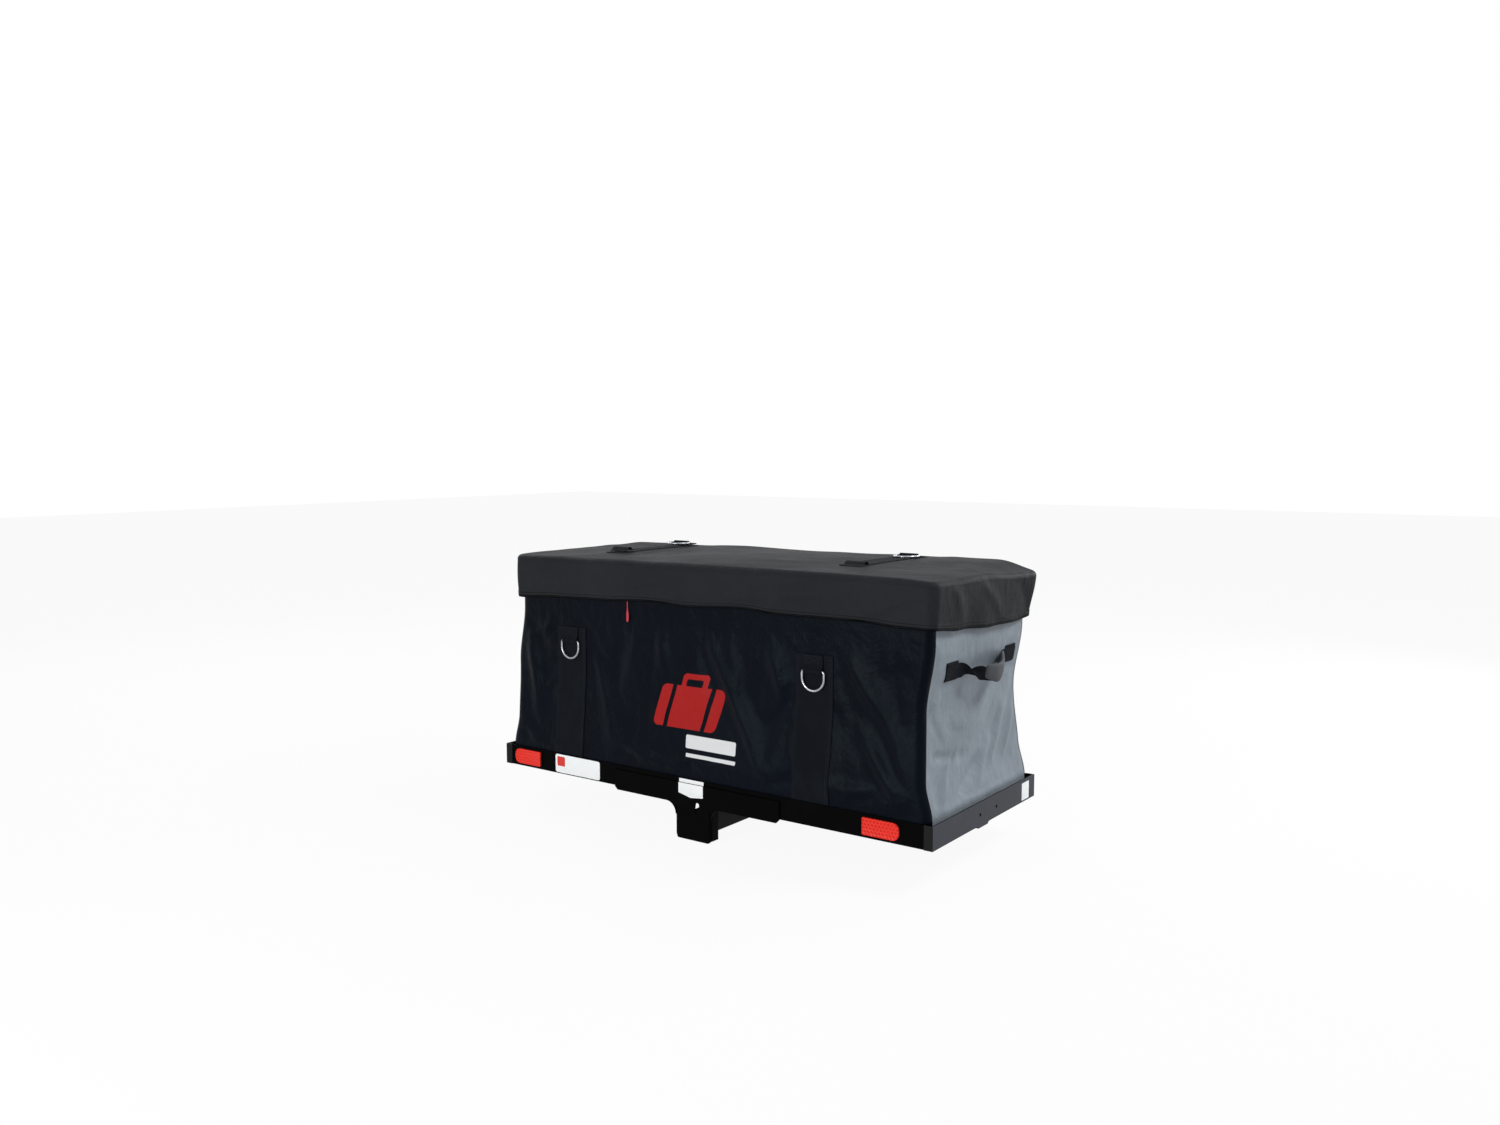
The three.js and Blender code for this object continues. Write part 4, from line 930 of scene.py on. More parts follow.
# Lid
CROWN = 0.005
LID_EDGE_STEPS = [0.0, 0.0012, 0.0036, 0.007, 0.011, 0.016]
LID_STRIP_XS = {"left": -0.352, "right": 0.332}
HEM_FRONT = [(-0.585, 0.437), (-0.559, 0.433), (-0.420, 0.439), (-0.286, 0.443), (-0.130, 0.450),
             (-0.038, 0.446), (0.129, 0.454), (0.217, 0.448), (0.411, 0.450), (0.528, 0.444),
             (0.600, 0.444)]
HEM_RIGHT = [(-0.247, 0.444), (-0.122, 0.433), (0.023, 0.424), (0.175, 0.420), (0.247, 0.425)]
HEM_REAR = [(-0.590, 0.440), (-0.300, 0.446), (0.0, 0.438), (0.300, 0.443), (0.604, 0.425)]
HEM_LEFT = [(-0.247, 0.437), (0.0, 0.443), (0.247, 0.440)]


def lid_crown(x, y):
    """How far the lid bows up between its edges."""
    size = sizes()
    across = (x - size.lid_shift) / (size.lid_length / 2)
    deep = y / (size.lid_depth / 2)
    return CROWN * (1 - min(abs(across), 1) ** 4) * (1 - min(deep * deep, 1))


def lid_wave(x, y):
    """How the lid's cloth rises and sinks away from what is sewn on it."""
    clear = 1.0
    for strip in LID_STRIP_XS.values():
        clear = min(clear, smooth(0.030, 0.080, abs(x - strip)))
    roll = 0.0035 * math.sin(7.5 * x + 1.1) * math.cos(9 * y + 0.4)
    ripple = 0.0018 * noise.noise(Vector((x * 9, y * 14, 0.3)))
    edge = through([(-0.58, -0.004), (-0.36, -0.003), (-0.19, 0), (0.0, 0.0015), (0.39, 0.002),
                    (0.52, 0.001), (0.60, -0.003)], x)
    droop = 0.016 * smooth(0.510, 0.602, x) * smooth(-0.05, 0.235, y)
    return (roll + ripple) * clear + edge - droop


def lid_under(x, y):
    """The height of the lid's underside, which the walls reach up to."""
    size = sizes()
    return size.lid_top - size.cloth - 0.0006 + min(lid_wave(x, y), 0)


def lid_bulge(x, y, z):
    """The rear right corner of the lid is drawn outwards."""
    near = math.exp(-((x - 0.60) ** 2 + (y - 0.245) ** 2) / 0.11 ** 2)
    return 0.010 * near * smooth(0.43, 0.53, z)


def lid_top_piece():
    """The lid's top: a crowned sheet that rolls over its edge and is sewn to the skirt."""
    size = sizes()
    half_x, half_y = size.lid_length / 2, size.lid_depth / 2
    corner, edge = size.lid_corner, size.lid_edge

    def stops(half, count):
        inner = [lerp(-half + 0.022, half - 0.022, k / count) for k in range(count + 1)]
        return [-half + s for s in LID_EDGE_STEPS] + inner + [half - s for s in
                                                             reversed(LID_EDGE_STEPS)]

    xs, ys = stops(half_x, 92), stops(half_y, 36)

    def place(i, j):
        x, y = xs[i], ys[j]
        out_x, out_y = abs(x) - (half_x - corner), abs(y) - (half_y - corner)
        room = min(half_x - abs(x), half_y - abs(y))
        if out_x > 0 and out_y > 0:
            a, b = out_x / corner, out_y / corner
            a, b = a * math.sqrt(1 - b * b / 2), b * math.sqrt(1 - a * a / 2)
            room = corner * (1 - math.hypot(a, b))
            x = math.copysign(half_x - corner + a * corner, x)
            y = math.copysign(half_y - corner + b * corner, y)
        short = max(edge - room, 0)
        drop = edge - math.sqrt(max(edge * edge - short * short, 0))
        x += size.lid_shift
        z = size.lid_top - drop + lid_crown(x, y) + lid_wave(x, y)
        push = lid_bulge(x, y, z)
        return Vector((x + push, y + push * 0.8, z))

    return cloth_sheet(laid_grid("lid_top_cloth", len(xs) - 1, len(ys) - 1, place), "charcoal",
                       "cloth_charcoal", ["lid_top"], "stretched", "rear_wall", size.cloth)


PERIMETER = [("front", 100), ("front_right", 6), ("right", 40), ("rear_right", 6),
             ("rear", 100), ("rear_left", 6), ("left", 40), ("front_left", 6)]


def lid_station(k):
    """The side, the place on it from -1 to 1, and the facing of column k round the lid."""
    places = {"front": (None, -1, FRONT), "right": (1, None, RIGHT), "rear": (None, 1, REAR),
              "left": (-1, None, LEFT), "front_right": (1, -1, FRONT), "rear_right": (1, 1, RIGHT),
              "rear_left": (-1, 1, REAR), "front_left": (-1, -1, LEFT)}
    for name, count in PERIMETER:
        if k <= count:
            f, g, facing = places[name]
            share = k / count
            if f is None:
                f = lerp(-1, 1, share) if name == "front" else lerp(1, -1, share)
            elif g is None:
                g = lerp(-1, 1, share) if name == "right" else lerp(1, -1, share)
            else:
                facing += share * math.pi / 2
            return name, f, g, facing
        k -= count
    return "front", -1, -1, FRONT


def hem_height(x, y):
    """The height of the skirt's hem below a point of the lid's rim."""
    size = sizes()
    half_x, half_y = size.lid_length / 2, size.lid_depth / 2
    across = (x - size.lid_shift) / half_x
    deep = y / half_y
    if abs(across) > abs(deep):
        return through(HEM_RIGHT if across > 0 else HEM_LEFT, y)
    return through(HEM_REAR if deep > 0 else HEM_FRONT, x)


SKIRT_FOLDS = {
    "front": [((0.410, 0.452), (0.565, 0.515), 0.017, 0.0075, 0.6),
              ((0.060, 0.475), (0.360, 0.505), 0.019, 0.0060, 0.7),
              ((-0.460, 0.480), (-0.060, 0.500), 0.018, 0.0048, 0.7),
              ((-0.150, 0.450), (-0.020, 0.478), 0.014, 0.0052, 0.7),
              ((0.180, 0.450), (0.240, 0.478), 0.012, 0.0050, 0.7)],
    "right": [((-0.160, 0.530), (-0.110, 0.440), 0.018, 0.0036, 0.6),
              ((-0.020, 0.520), (0.080, 0.435), 0.018, 0.0035, 0.6),
              ((0.150, 0.515), (0.215, 0.445), 0.016, -0.0040, 0.8)],
    "rear": [((-0.300, 0.500), (0.100, 0.480), 0.016, 0.0030, 0.7),
             ((0.300, 0.455), (0.520, 0.510), 0.016, 0.0035, 0.7)],
    "left": [((-0.150, 0.455), (0.050, 0.510), 0.016, 0.0035, 0.7)],
}


def skirt_out(name, along, z, share):
    """How far the skirt stands off its line: waves that grow towards the hem, and folds."""
    wave = 0.0022 * math.sin(21 * along + 0.7) + 0.0016 * math.sin(47 * along + 2.1)
    swell = 0.0021 * math.sin(math.pi * share)
    fold = fold_height(SKIRT_FOLDS.get(name, ()), along, z) * smooth(0, 0.15, share)
    return wave * (1 - share) + swell + fold * (1 - smooth(0.9, 1, share))


def lid_skirt_piece():
    """The band that hangs from the lid's edge, with a turned and twice-sewn hem."""
    size = sizes()
    half_x, half_y = size.lid_length / 2, size.lid_depth / 2
    top = size.lid_top - size.lid_edge - SEAM_GAP
    rows = 22
    columns = sum(count for _, count in PERIMETER)
    hem_tall = 0.013

    def place(k, j, lift=0.0):
        name, f, g, facing = lid_station(k)
        centre = (size.lid_shift + f * (half_x - size.lid_corner), g * (half_y - size.lid_corner))
        rim = on_corner(centre, facing, size.lid_corner, 0)
        low = hem_height(rim.x, rim.y)
        high = top + lid_wave(rim.x, rim.y)
        share = (j / rows) ** 1.25
        z = lerp(low, high, share)
        along = rim.x if name in ("front", "rear") else rim.y
        out = -0.004 * (1 - share) + skirt_out(name, along, z, share)
        in_hem = 1 - smooth(hem_tall - 0.0015, hem_tall + 0.0015, z - low)
        out += 0.0011 * in_hem
        push = lid_bulge(rim.x, rim.y, z)
        at = on_corner(centre, facing, size.lid_corner + out + lift, z)
        return at + Vector((push, push * 0.8, 0))

    cloth_sheet(laid_grid("lid_skirt_cloth", columns, rows, place), "skirt", "cloth_charcoal",
                ["lid_skirt"], "hung", "lid_top_cloth", size.cloth, merge=True)
    facings = [lid_station(k)[3] for k in range(columns + 1)]
    stitched("hem_stitching", [
        [(place(k, 0, 0.0006) + Vector((0, 0, height)),
          Vector((math.cos(facing), math.sin(facing), 0))) for k, facing in enumerate(facings)]
        for height in (0.0035, 0.0105)], pitch=0.0046)


LID = {}
LID_RING_Y = 0.150
LOOP_Y = -0.090


def lid_webbing():
    """Two strips across the lid, each with a sewn loop towards the front."""
    size = sizes()
    half = 0.028
    front, rear = -0.120, LID_RING_Y + 0.039
    columns, rows = 8, 44
    lines = []
    for side, middle in LID_STRIP_XS.items():
        def place(i, j, lift=size.webbing + SEAM_GAP):
            x = lerp(middle - half, middle + half, i / columns)
            return dropped_onto(LID["top"], Vector((x, lerp(front, rear, j / rows), 0.7)),
                                (0, 0, -1), lift)
        strip = laid_grid(f"lid_strip_{side}_webbing", columns, rows, place)
        dressed(sewn(strip, size.webbing, 0), "lid_webbing", "carrier", "webbing",
                f"lid_strip_{side}")
        for inset in (0.4, 1.0):
            for i in (inset, columns - inset):
                lines.append([(place(i, lerp(inset, rows - inset, k / 30), size.webbing + 0.0005),
                               Vector((0, 0, 1))) for k in range(31)])
        lid_loop(side, middle)
    stitched("lid_strip_stitching", lines)


def lid_loop(side, middle):
    """A short loop of webbing that arches off its strip between two sewn feet."""
    size = sizes()
    half, span, rise, foot, columns = 0.025, 0.010, 0.0075, 0.012, 6
    base = size.lid_top + lid_crown(middle, LOOP_Y) + 0.0006 + size.webbing
    slope = (lid_crown(middle, LOOP_Y + 0.02) - lid_crown(middle, LOOP_Y - 0.02)) / 0.04
    line = [(-span - foot, size.webbing), (-span - 0.002, size.webbing)]
    line += [(-span * math.cos(turn), size.webbing + rise * math.sin(turn))
             for turn in [math.pi * k / 16 for k in range(1, 16)]]
    line += [(span + 0.002, size.webbing), (span + foot, size.webbing)]

    def place(i, j):
        y, z = line[j]
        across = lerp(-half, half, i / columns)
        return Vector((middle + across, LOOP_Y + y, base + z + slope * y))

    loop = laid_grid(f"lid_loop_{side}_webbing", columns, len(line) - 1, place)
    dressed(sewn(loop, size.webbing, 1), "lid_webbing", "carrier", "webbing",
            f"lid_loop_{side}")


# Rings and their tabs
TAB_TALL = 0.035
RING_LEG = 0.015


def node_middle(name):
    points = [vertex.co for vertex in frame["nodes"][name].data.vertices]
    return sum(points, Vector()) / len(points)


def ring_frame(name):
    """A frame at a ring's bar: X along the bar, Z from the ring up to its tab, -Y outwards."""
    bar = Vector(JOINTS[f"ring_swing_{name}"]["pos_m"])
    up = node_middle(f"ring_tab_{name}") - bar
    if name.startswith("lid"):
        out = Vector((0, 0, 1))
    else:
        out = Vector((0, -1 if name.startswith("front") else 1, 0))
    along = Vector((round(up.cross(out).normalized().x), 0, 0))
    if name.startswith("lid"):
        climb = lid_crown(bar.x, LID_RING_Y + TAB_TALL) - lid_crown(bar.x, LID_RING_Y)
        tilt = math.atan(climb / TAB_TALL)
        up = Vector((0, math.cos(tilt), math.sin(tilt)))
    else:
        up = Vector((0, 0, 1))
    back = up.cross(along).normalized()
    return Matrix.Translation(bar) @ Matrix((along, back, up)).transposed().to_4x4()


def drawn_wire(name, radius, start, heading, moves):
    """Wire drawn as by hand: a circle extruded and spun along its way until it meets itself."""
    bpy.ops.object.select_all(action="DESELECT")
    bpy.ops.mesh.primitive_circle_add(vertices=16, radius=radius, location=start,
                                      rotation=Vector(heading).to_track_quat("Z", "Y").to_euler())
    piece = started(name)
    only(piece)
    bpy.ops.object.transform_apply(location=True, rotation=True, scale=True)
    edited(piece)
    for kind, *facts in moves:
        if kind == "run":
            bpy.ops.mesh.extrude_region_move(TRANSFORM_OT_translate={"value": facts[0]})
        else:
            centre, angle, steps = facts
            bpy.ops.mesh.spin(steps=steps, angle=-angle, center=centre, axis=(0, 1, 0))
    bpy.ops.mesh.select_all(action="SELECT")
    bpy.ops.mesh.remove_doubles(threshold=WELD)
    bpy.ops.mesh.normals_make_consistent(inside=False)
    bpy.ops.object.mode_set(mode="OBJECT")
    return piece


def lashing_ring(name):
    """A D-ring: its bar runs in the tab's fold and its round end hangs free."""
    size = sizes()
    side = (size.ring_width - size.ring_wire) / 2
    corner = size.ring_wire
    wire = drawn_wire(f"lashing_ring_{name}", size.ring_wire / 2, (side, 0, -RING_LEG), (0, 0, 1), [
        ("spin", (0, 0, -RING_LEG), math.pi, 28),
        ("run", (0, 0, RING_LEG - corner)),
        ("spin", (-side + corner, 0, -corner), math.pi / 2, 6),
        ("run", (2 * (side - corner), 0, 0)),
        ("spin", (side - corner, 0, -corner), math.pi / 2, 6),
        ("run", (0, 0, corner - RING_LEG)),
    ])
    hang = node_middle(f"d_ring_{name}") - Vector(JOINTS[f"ring_swing_{name}"]["pos_m"])
    base = ring_frame(name)
    down = -(base.to_3x3() @ Vector((0, 0, 1)))
    hang = Vector((0, hang.y, hang.z)).normalized()
    swing = down.rotation_difference(hang).to_matrix().to_4x4()
    place = Matrix.Translation(base.translation) @ swing @ base.to_3x3().to_4x4()
    wire.data.transform(place)
    only(wire)
    bpy.ops.object.shade_smooth()
    return dressed(wire, "zinc", f"d_ring_{name}", "zinc", f"d_ring_{name}")


def ring_tab(name):
    """Webbing folded round the bar and sewn flat above it."""
    size = sizes()
    eye = size.ring_wire / 2 + 0.0006 + size.webbing
    back = -(eye - size.webbing / 2) - 0.0002
    line = [(back, TAB_TALL), (back, TAB_TALL * 0.5), (back, 0.004)]
    line += [(eye * math.cos(turn), eye * math.sin(turn))
             for turn in [math.radians(180 + 20 * k) for k in range(13)]]
    line += [(back + size.webbing * 0.9 + 0.0026, 0.0085), (back + size.webbing + 0.0008, 0.012),
             (back + size.webbing, 0.016), (back + size.webbing, TAB_TALL)]
    base = ring_frame(name)
    half = size.tab_width / 2
    columns = 8

    def place(i, j):
        out, up = line[j]
        return base @ Vector((lerp(-half, half, i / columns), -out, up)) - TRAY

    tab = laid_grid(f"ring_tab_{name}_webbing", columns, len(line) - 1, place)
    finish_with(tab, "SOLIDIFY", thickness=size.webbing * 0.9, offset=0)
    dressed(smoothed(tab, CLOTH_CREASE), "webbing", "carrier", "webbing", f"ring_tab_{name}")
    facing = base.to_3x3() @ Vector((0, -1, 0))
    out = back + size.webbing * 1.5 + 0.0001
    return [[(base @ Vector((u * half, -out, v)) - TRAY, facing) for u, v in line]
            for line in crossed_box(-0.9, 0.9, 0.013, TAB_TALL - SEAM_INSET)]


# Carrying handles
HANDLE_Y = 0.015
HANDLE_Z = 0.344
HANDLE_REACH = 0.170
PATCH = 0.052
PATCH_LOW = 0.326
GRIP_FROM, GRIP_TO = -0.040, 0.090
STRAP_THICK = 0.0019
STRAP_REST, STRAP_OUT, STRAP_SAG = 0.003, 0.040, 0.020
FACE_LOW = 0.322


def handle_line(away):
    """How far the strap stands out and hangs down, away from its middle."""
    free = HANDLE_REACH - PATCH
    share = (1 + math.cos(math.pi * away / free)) / 2 if abs(away) < free else 0
    return STRAP_REST + STRAP_OUT * share, STRAP_SAG * share


def end_face_x(sign, z):
    """Where an end wall stands behind its handle."""
    low, high = [sign * wall_halves(row)[0] + lean(row) for row in (FACE_LOW, STRIP_TOP)]
    return lerp(low, high, (z - FACE_LOW) / (STRIP_TOP - FACE_LOW))


def handle_point(sign, away, tall, thick, roll=0.0):
    """A point of the strap: away along it, tall up its width and thick through it."""
    out, down = handle_line(away)
    slope = (handle_line(away + 0.001)[0] - handle_line(away - 0.001)[0]) / 0.002
    outward = Vector((sign, -slope, 0)).normalized()
    middle = Vector((sign * out, HANDLE_Y + away, HANDLE_Z - down))
    middle.x += end_face_x(sign, middle.z + tall * math.cos(roll))
    up = Vector((0, 0, 1))
    across = up * math.cos(roll) + outward * math.sin(roll)
    through_it = outward * math.cos(roll) - up * math.sin(roll)
    return middle + across * tall + through_it * thick


def handle_strap(side, sign):
    """The strap: flat on its patches, given a half turn in front of the grip."""
    size = sizes()
    half = size.strap_width / 2
    columns, rows = 6, 70

    def place(i, j):
        away = lerp(-HANDLE_REACH, HANDLE_REACH, j / rows) * sign
        turn = smooth(-0.104, GRIP_FROM - 0.004, away)
        knot = math.sin(math.pi * turn)
        in_grip = smooth(GRIP_FROM - 0.01, GRIP_FROM, away)
        in_grip *= 1 - smooth(GRIP_TO, GRIP_TO + 0.01, away)
        pinch = 0.9 - 0.36 * knot - 0.12 * in_grip
        tall = lerp(-half, half, i / columns) * pinch
        curl = 0.007 * knot * (1 - (2 * i / columns - 1) ** 2)
        return handle_point(sign, away, tall, size.webbing / 2 + curl, math.pi * turn)

    strap = laid_grid(f"handle_strap_{side}_webbing", columns, rows, place)
    finish_with(strap, "SUBSURF", levels=1, render_levels=1)
    finish_with(strap, "SOLIDIFY", thickness=STRAP_THICK, offset=0)
    dressed(smoothed(strap, CLOTH_CREASE), "webbing", "carrier", "webbing",
            f"handle_strap_{side}")


def handle_grip(side, sign):
    """A padded sleeve round the strap: plump between its sewn ends."""
    around, rows = 28, 30

    def place(i, j):
        share = j / rows
        away = lerp(GRIP_FROM, GRIP_TO, share)
        turn = -sign * 2 * math.pi * i / around
        plump = (1 - abs(2 * share - 1) ** 5) ** 0.5
        rough = noise.noise(Vector((away * 90, 3 * math.cos(turn), 3 * math.sin(turn))))
        wrinkle = 1 + 0.05 * rough * smooth(0, 0.2, share) * (1 - smooth(0.8, 1, share))
        narrow = 1 - 0.25 * (1 - smooth(0, 0.45, share))
        tall = lerp(0.0165, 0.0225, plump) * math.sin(turn) * wrinkle * narrow
        tall += 0.005 * (1 - smooth(0.1, 0.6, share))
        thick = lerp(0.0016, 0.0066, plump) * math.copysign(abs(math.cos(turn)) ** 0.7,
                                                            math.cos(turn)) * wrinkle
        if j in (0, rows):
            tall *= 0.94
            thick *= 0.3
        return handle_point(sign, away, tall, thick)

    grip = laid_grid(f"handle_grip_{side}_sleeve", around, rows, place)
    closed_tube(grip)
    finish_with(grip, "SUBSURF", levels=1, render_levels=1)
    dressed(smoothed(grip, 60), "grip", "carrier", "grip", f"handle_grip_{side}")


def handle_patch(side, sign, which):
    """The patch that an end of the strap is sewn to, and the lines of its stitches."""
    size = sizes()
    outer = HANDLE_Y + which * HANDLE_REACH
    inner = outer - which * PATCH
    low, high = sorted((outer, inner))
    columns, rows = 8, 8

    def place(i, j):
        y = lerp(low, high, i / columns) if sign > 0 else lerp(high, low, i / columns)
        z = lerp(PATCH_LOW, STRIP_TOP - SEAM_INSET, j / rows)
        return dropped_onto(WALLS[side], Vector((sign * 0.9, y, z)), (-sign, 0, 0),
                            size.webbing + SEAM_GAP)

    name = "front" if which < 0 else "rear"
    patch = laid_grid(f"handle_patch_{side}_{name}_webbing", columns, rows, place)
    dressed(sewn(patch, size.webbing, 0), "webbing", "carrier", "webbing",
            f"handle_patch_{side}_{name}")
    half = size.strap_width / 2 - 0.0065
    facing = Vector((sign, 0, 0))
    return [[(Vector((end_face_x(sign, HANDLE_Z + t) + sign * 0.0049, y, HANDLE_Z + t)), facing)
             for y, t in line]
            for line in crossed_box(outer - which * 0.004, inner + which * 0.004, -half, half)]


# Zip
ZIP_COLUMNS = (24, 6, 60, 6, 24)


def zip_station(k):
    """Column k of the zip's way round the left, front and right walls."""
    left, c1, front, c2, right = ZIP_COLUMNS
    if k <= left:
        return -1, lerp(1, -1, k / left), LEFT
    k -= left
    if k <= c1:
        return -1, -1, LEFT + k / c1 * math.pi / 2
    k -= c1
    if k <= front:
        return lerp(-1, 1, k / front), -1, FRONT
    k -= front
    if k <= c2:
        return 1, -1, FRONT + k / c2 * math.pi / 2
    k -= c2
    return 1, lerp(-1, 1, k / right), RIGHT + 2 * math.pi


def zip_band(name, finish, slot, nodes, low, high, inset, thickness):
    """A band of cloth that follows the zip round three walls. It reaches from the height low to
    the height high, or to the lid if high is None, and lies inset behind the walls' face."""
    size = sizes()
    rows = 4

    def place(k, j):
        f, g, facing = zip_station(k)
        top = high or lid_under(f * (size.lid_length / 2), g * (size.lid_depth / 2))
        z = lerp(low, top, j / rows)
        half_x, half_y = wall_halves(z)
        corner = size.wall_corner
        centre = (lean(z) + f * (half_x - corner), g * (half_y - corner))
        at = on_corner(centre, facing, corner - inset, z)
        at.y = min(at.y, half_y - corner - 0.0006)
        return at

    cloth_sheet(laid_grid(name, sum(ZIP_COLUMNS), rows, place), finish, slot, nodes,
                "stretched", "rear_wall", thickness, 0)


def pull_tab():
    """A cord looped on the slider's post, ending in a flat moulded tab."""
    slider = Vector(JOINTS["pull_swing"]["pos_m"]) - TRAY
    low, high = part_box("zip_pull")
    middle_y = (low.y + high.y) / 2 - TRAY.y
    drop = slider.z - (low.z - TRAY.z)
    widths = [(0.0, 0.0009), (0.03, 0.0013), (0.50, 0.0014), (0.62, 0.0021), (0.72, 0.0036),
              (0.93, 0.0040), (0.985, 0.0032), (1.0, 0.0010)]
    rows, around = 30, 14
    eye_radius = 0.0030

    def place(i, j):
        share = (j / rows) ** 0.9
        turn = 2 * math.pi * i / around
        wide = through(widths, share)
        thick = min(wide, 0.0011)
        z = slider.z - eye_radius - share * (drop - eye_radius)
        return Vector((slider.x - wide * math.cos(turn), middle_y + thick * math.sin(turn), z))

    cord = laid_grid("pull_cord", around, rows, place)
    closed_tube(cord)
    bpy.ops.object.select_all(action="DESELECT")
    bpy.ops.mesh.primitive_torus_add(major_radius=0.0028, minor_radius=0.0009, major_segments=28,
                                     minor_segments=10, rotation=(math.pi / 2, 0, 0),
                                     location=Vector((slider.x, middle_y, slider.z)) + TRAY)
    eye = started("pull_eye")
    only(eye)
    bpy.ops.object.transform_apply(location=True, rotation=True, scale=True)
    cord.select_set(True)
    bpy.context.view_layer.objects.active = cord
    bpy.ops.object.join()
    only(cord)
    bpy.ops.object.shade_smooth()
    dressed(cord, "pull", "zip_pull", "pull_cord", "zip_pull")


# Plates and labels on the tray
def cut_plate(name, outline, front, thickness, bevel, facing="front", inset=0.0):
    """A plate cut to an outline of X and Z, or Y and Z on the right end, and given soft edges."""
    bpy.ops.object.select_all(action="DESELECT")
    bpy.ops.mesh.primitive_circle_add(vertices=len(outline), radius=1, fill_type="NGON")
    piece = started(name)
    if facing == "front":
        points = [Vector((u, front, v)) + TRAY for u, v in outline]
        outward = Vector((0, -thickness, 0))
    else:
        points = [Vector((front, u, v)) + TRAY for u, v in outline]
        outward = Vector((thickness, 0, 0))
    shaped(piece, points)
    edited(piece)
    bpy.ops.mesh.extrude_region_move(TRANSFORM_OT_translate={"value": outward})
    if inset:
        bpy.ops.mesh.inset(thickness=inset, depth=0)
        bpy.ops.mesh.extrude_region_move(TRANSFORM_OT_translate={"value": outward * -0.12})
    bpy.ops.mesh.select_all(action="SELECT")
    bpy.ops.mesh.normals_make_consistent(inside=False)
    bpy.ops.object.mode_set(mode="OBJECT")
    finish_with(piece, "BEVEL", width=bevel, segments=3, limit_method="ANGLE",
                angle_limit=math.radians(40))
    return smoothed(piece, 35)


def rounded(u0, u1, v0, v1, radii, steps=10):
    """A rectangle's outline with its own radius at each corner: low left, and on from there."""
    centres = [(u0, v0, 1, 1), (u1, v0, -1, 1), (u1, v1, -1, -1), (u0, v1, 1, -1)]
    points = []
    for (u, v, a, b), radius, start in zip(centres, radii, (2, 3, 0, 1)):
        for k in range(steps + 1):
            turn = (start + k / steps) * math.pi / 2
            points.append((u + a * radius + radius * math.cos(turn),
                           v + b * radius + radius * math.sin(turn)))
    return points


TRAY_FACE = -0.2517
RAIL_FACE = 0.6103
FILM = 0.0003
FILM_EDGE = 0.0001


def reflectors():
    for side, radii in (("left", (0.015, 0.003, 0.003, 0.015)),
                        ("right", (0.003, 0.015, 0.015, 0.003))):
        low, high = [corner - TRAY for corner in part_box(f"reflector_{side}")]
        lens = cut_plate(f"reflector_{side}_lens", rounded(low.x, high.x, low.z, high.z, radii),
                         high.y, high.y - low.y, 0.0008, inset=0.0022)
        dressed(lens, "lens", "carrier", "reflector", f"reflector_{side}")


def labels():
    """A blank film label, a blank shield and a small blank sticker, as thin as film."""
    bracket_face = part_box("hitch_bracket")[0].y - TRAY.y
    shield = [(-0.042, 0.016), (-0.007, 0.008), (0.029, 0.012), (0.029, 0.0399),
              (-0.042, 0.0399)]
    upper = [(-0.042, 0.0401), (0.029, 0.0401), (0.029, 0.0490), (-0.042, 0.0490)]
    for name, finish, outline, *cut in (
            ("tray_label", "label", rounded(-0.437, -0.289, 0.0025, 0.0485, (0.006,) * 4),
             TRAY_FACE - FILM, FILM, FILM_EDGE),
            ("tray_label_stripe", "label_red", rounded(-0.431, -0.405, 0.019, 0.043, (0.003,) * 4),
             TRAY_FACE - 2 * FILM, 0.0001, 0.00003),
            ("bracket_shield_label", "label", shield, bracket_face - FILM_EDGE, FILM, FILM_EDGE),
            ("tray_shield_label", "label", upper, TRAY_FACE - FILM, FILM, FILM_EDGE),
            ("rail_sticker", "label", rounded(0.182, 0.221, 0.004, 0.044, (0.002,) * 4),
             RAIL_FACE, FILM, FILM_EDGE, "right")):
        dressed(cut_plate(name, outline, *cut), finish, "carrier", "steel_black")


# Operators
class BuildPart:
    bl_options = {"REGISTER"}

    def execute(self, context):
        self.build(context)
        return {"FINISHED"}


class CARGOBAG_OT_finishes(BuildPart, bpy.types.Operator):
    """Make the paint, plating, cloth and webbing finishes"""

    bl_idname = "cargobag.finishes"
    bl_label = "Make finishes"

    def build(self, context):
        mix_finishes()


class CARGOBAG_OT_steel(BuildPart, bpy.types.Operator):
    """Give the tray, bracket, tube and fastenings their coats"""

    bl_idname = "cargobag.steel"
    bl_label = "Coat the steel"

    def build(self, context):
        coats = {
            "paint": ["tray_pan", "cross_channel", "hitch_bracket", "tube_riser"],
            # The end rails take the painted-light copy of the black paint.
            "rail_painted_light": ["end_rail_left", "end_rail_right"],
            "tube": ["hitch_tube"],
            "zinc": ["riser_bolt_front", "riser_bolt_rear", "riser_nut_front", "riser_nut_rear"],
            "dark_metal": ["zip_slider"],
            "zip": ["zip_chain"],
        }
        for finish, names in coats.items():
            for name in names:
                node = frame["nodes"][name]
                node.data.materials.clear()
                node.data.materials.append(FINISHES[finish])


class CARGOBAG_OT_reflectors(BuildPart, bpy.types.Operator):
    """Mould the two reflectors"""

    bl_idname = "cargobag.reflectors"
    bl_label = "Reflectors"

    def build(self, context):
        reflectors()


class CARGOBAG_OT_labels(BuildPart, bpy.types.Operator):
    """Stick the blank labels on the tray"""

    bl_idname = "cargobag.labels"
    bl_label = "Labels"

    def build(self, context):
        labels()


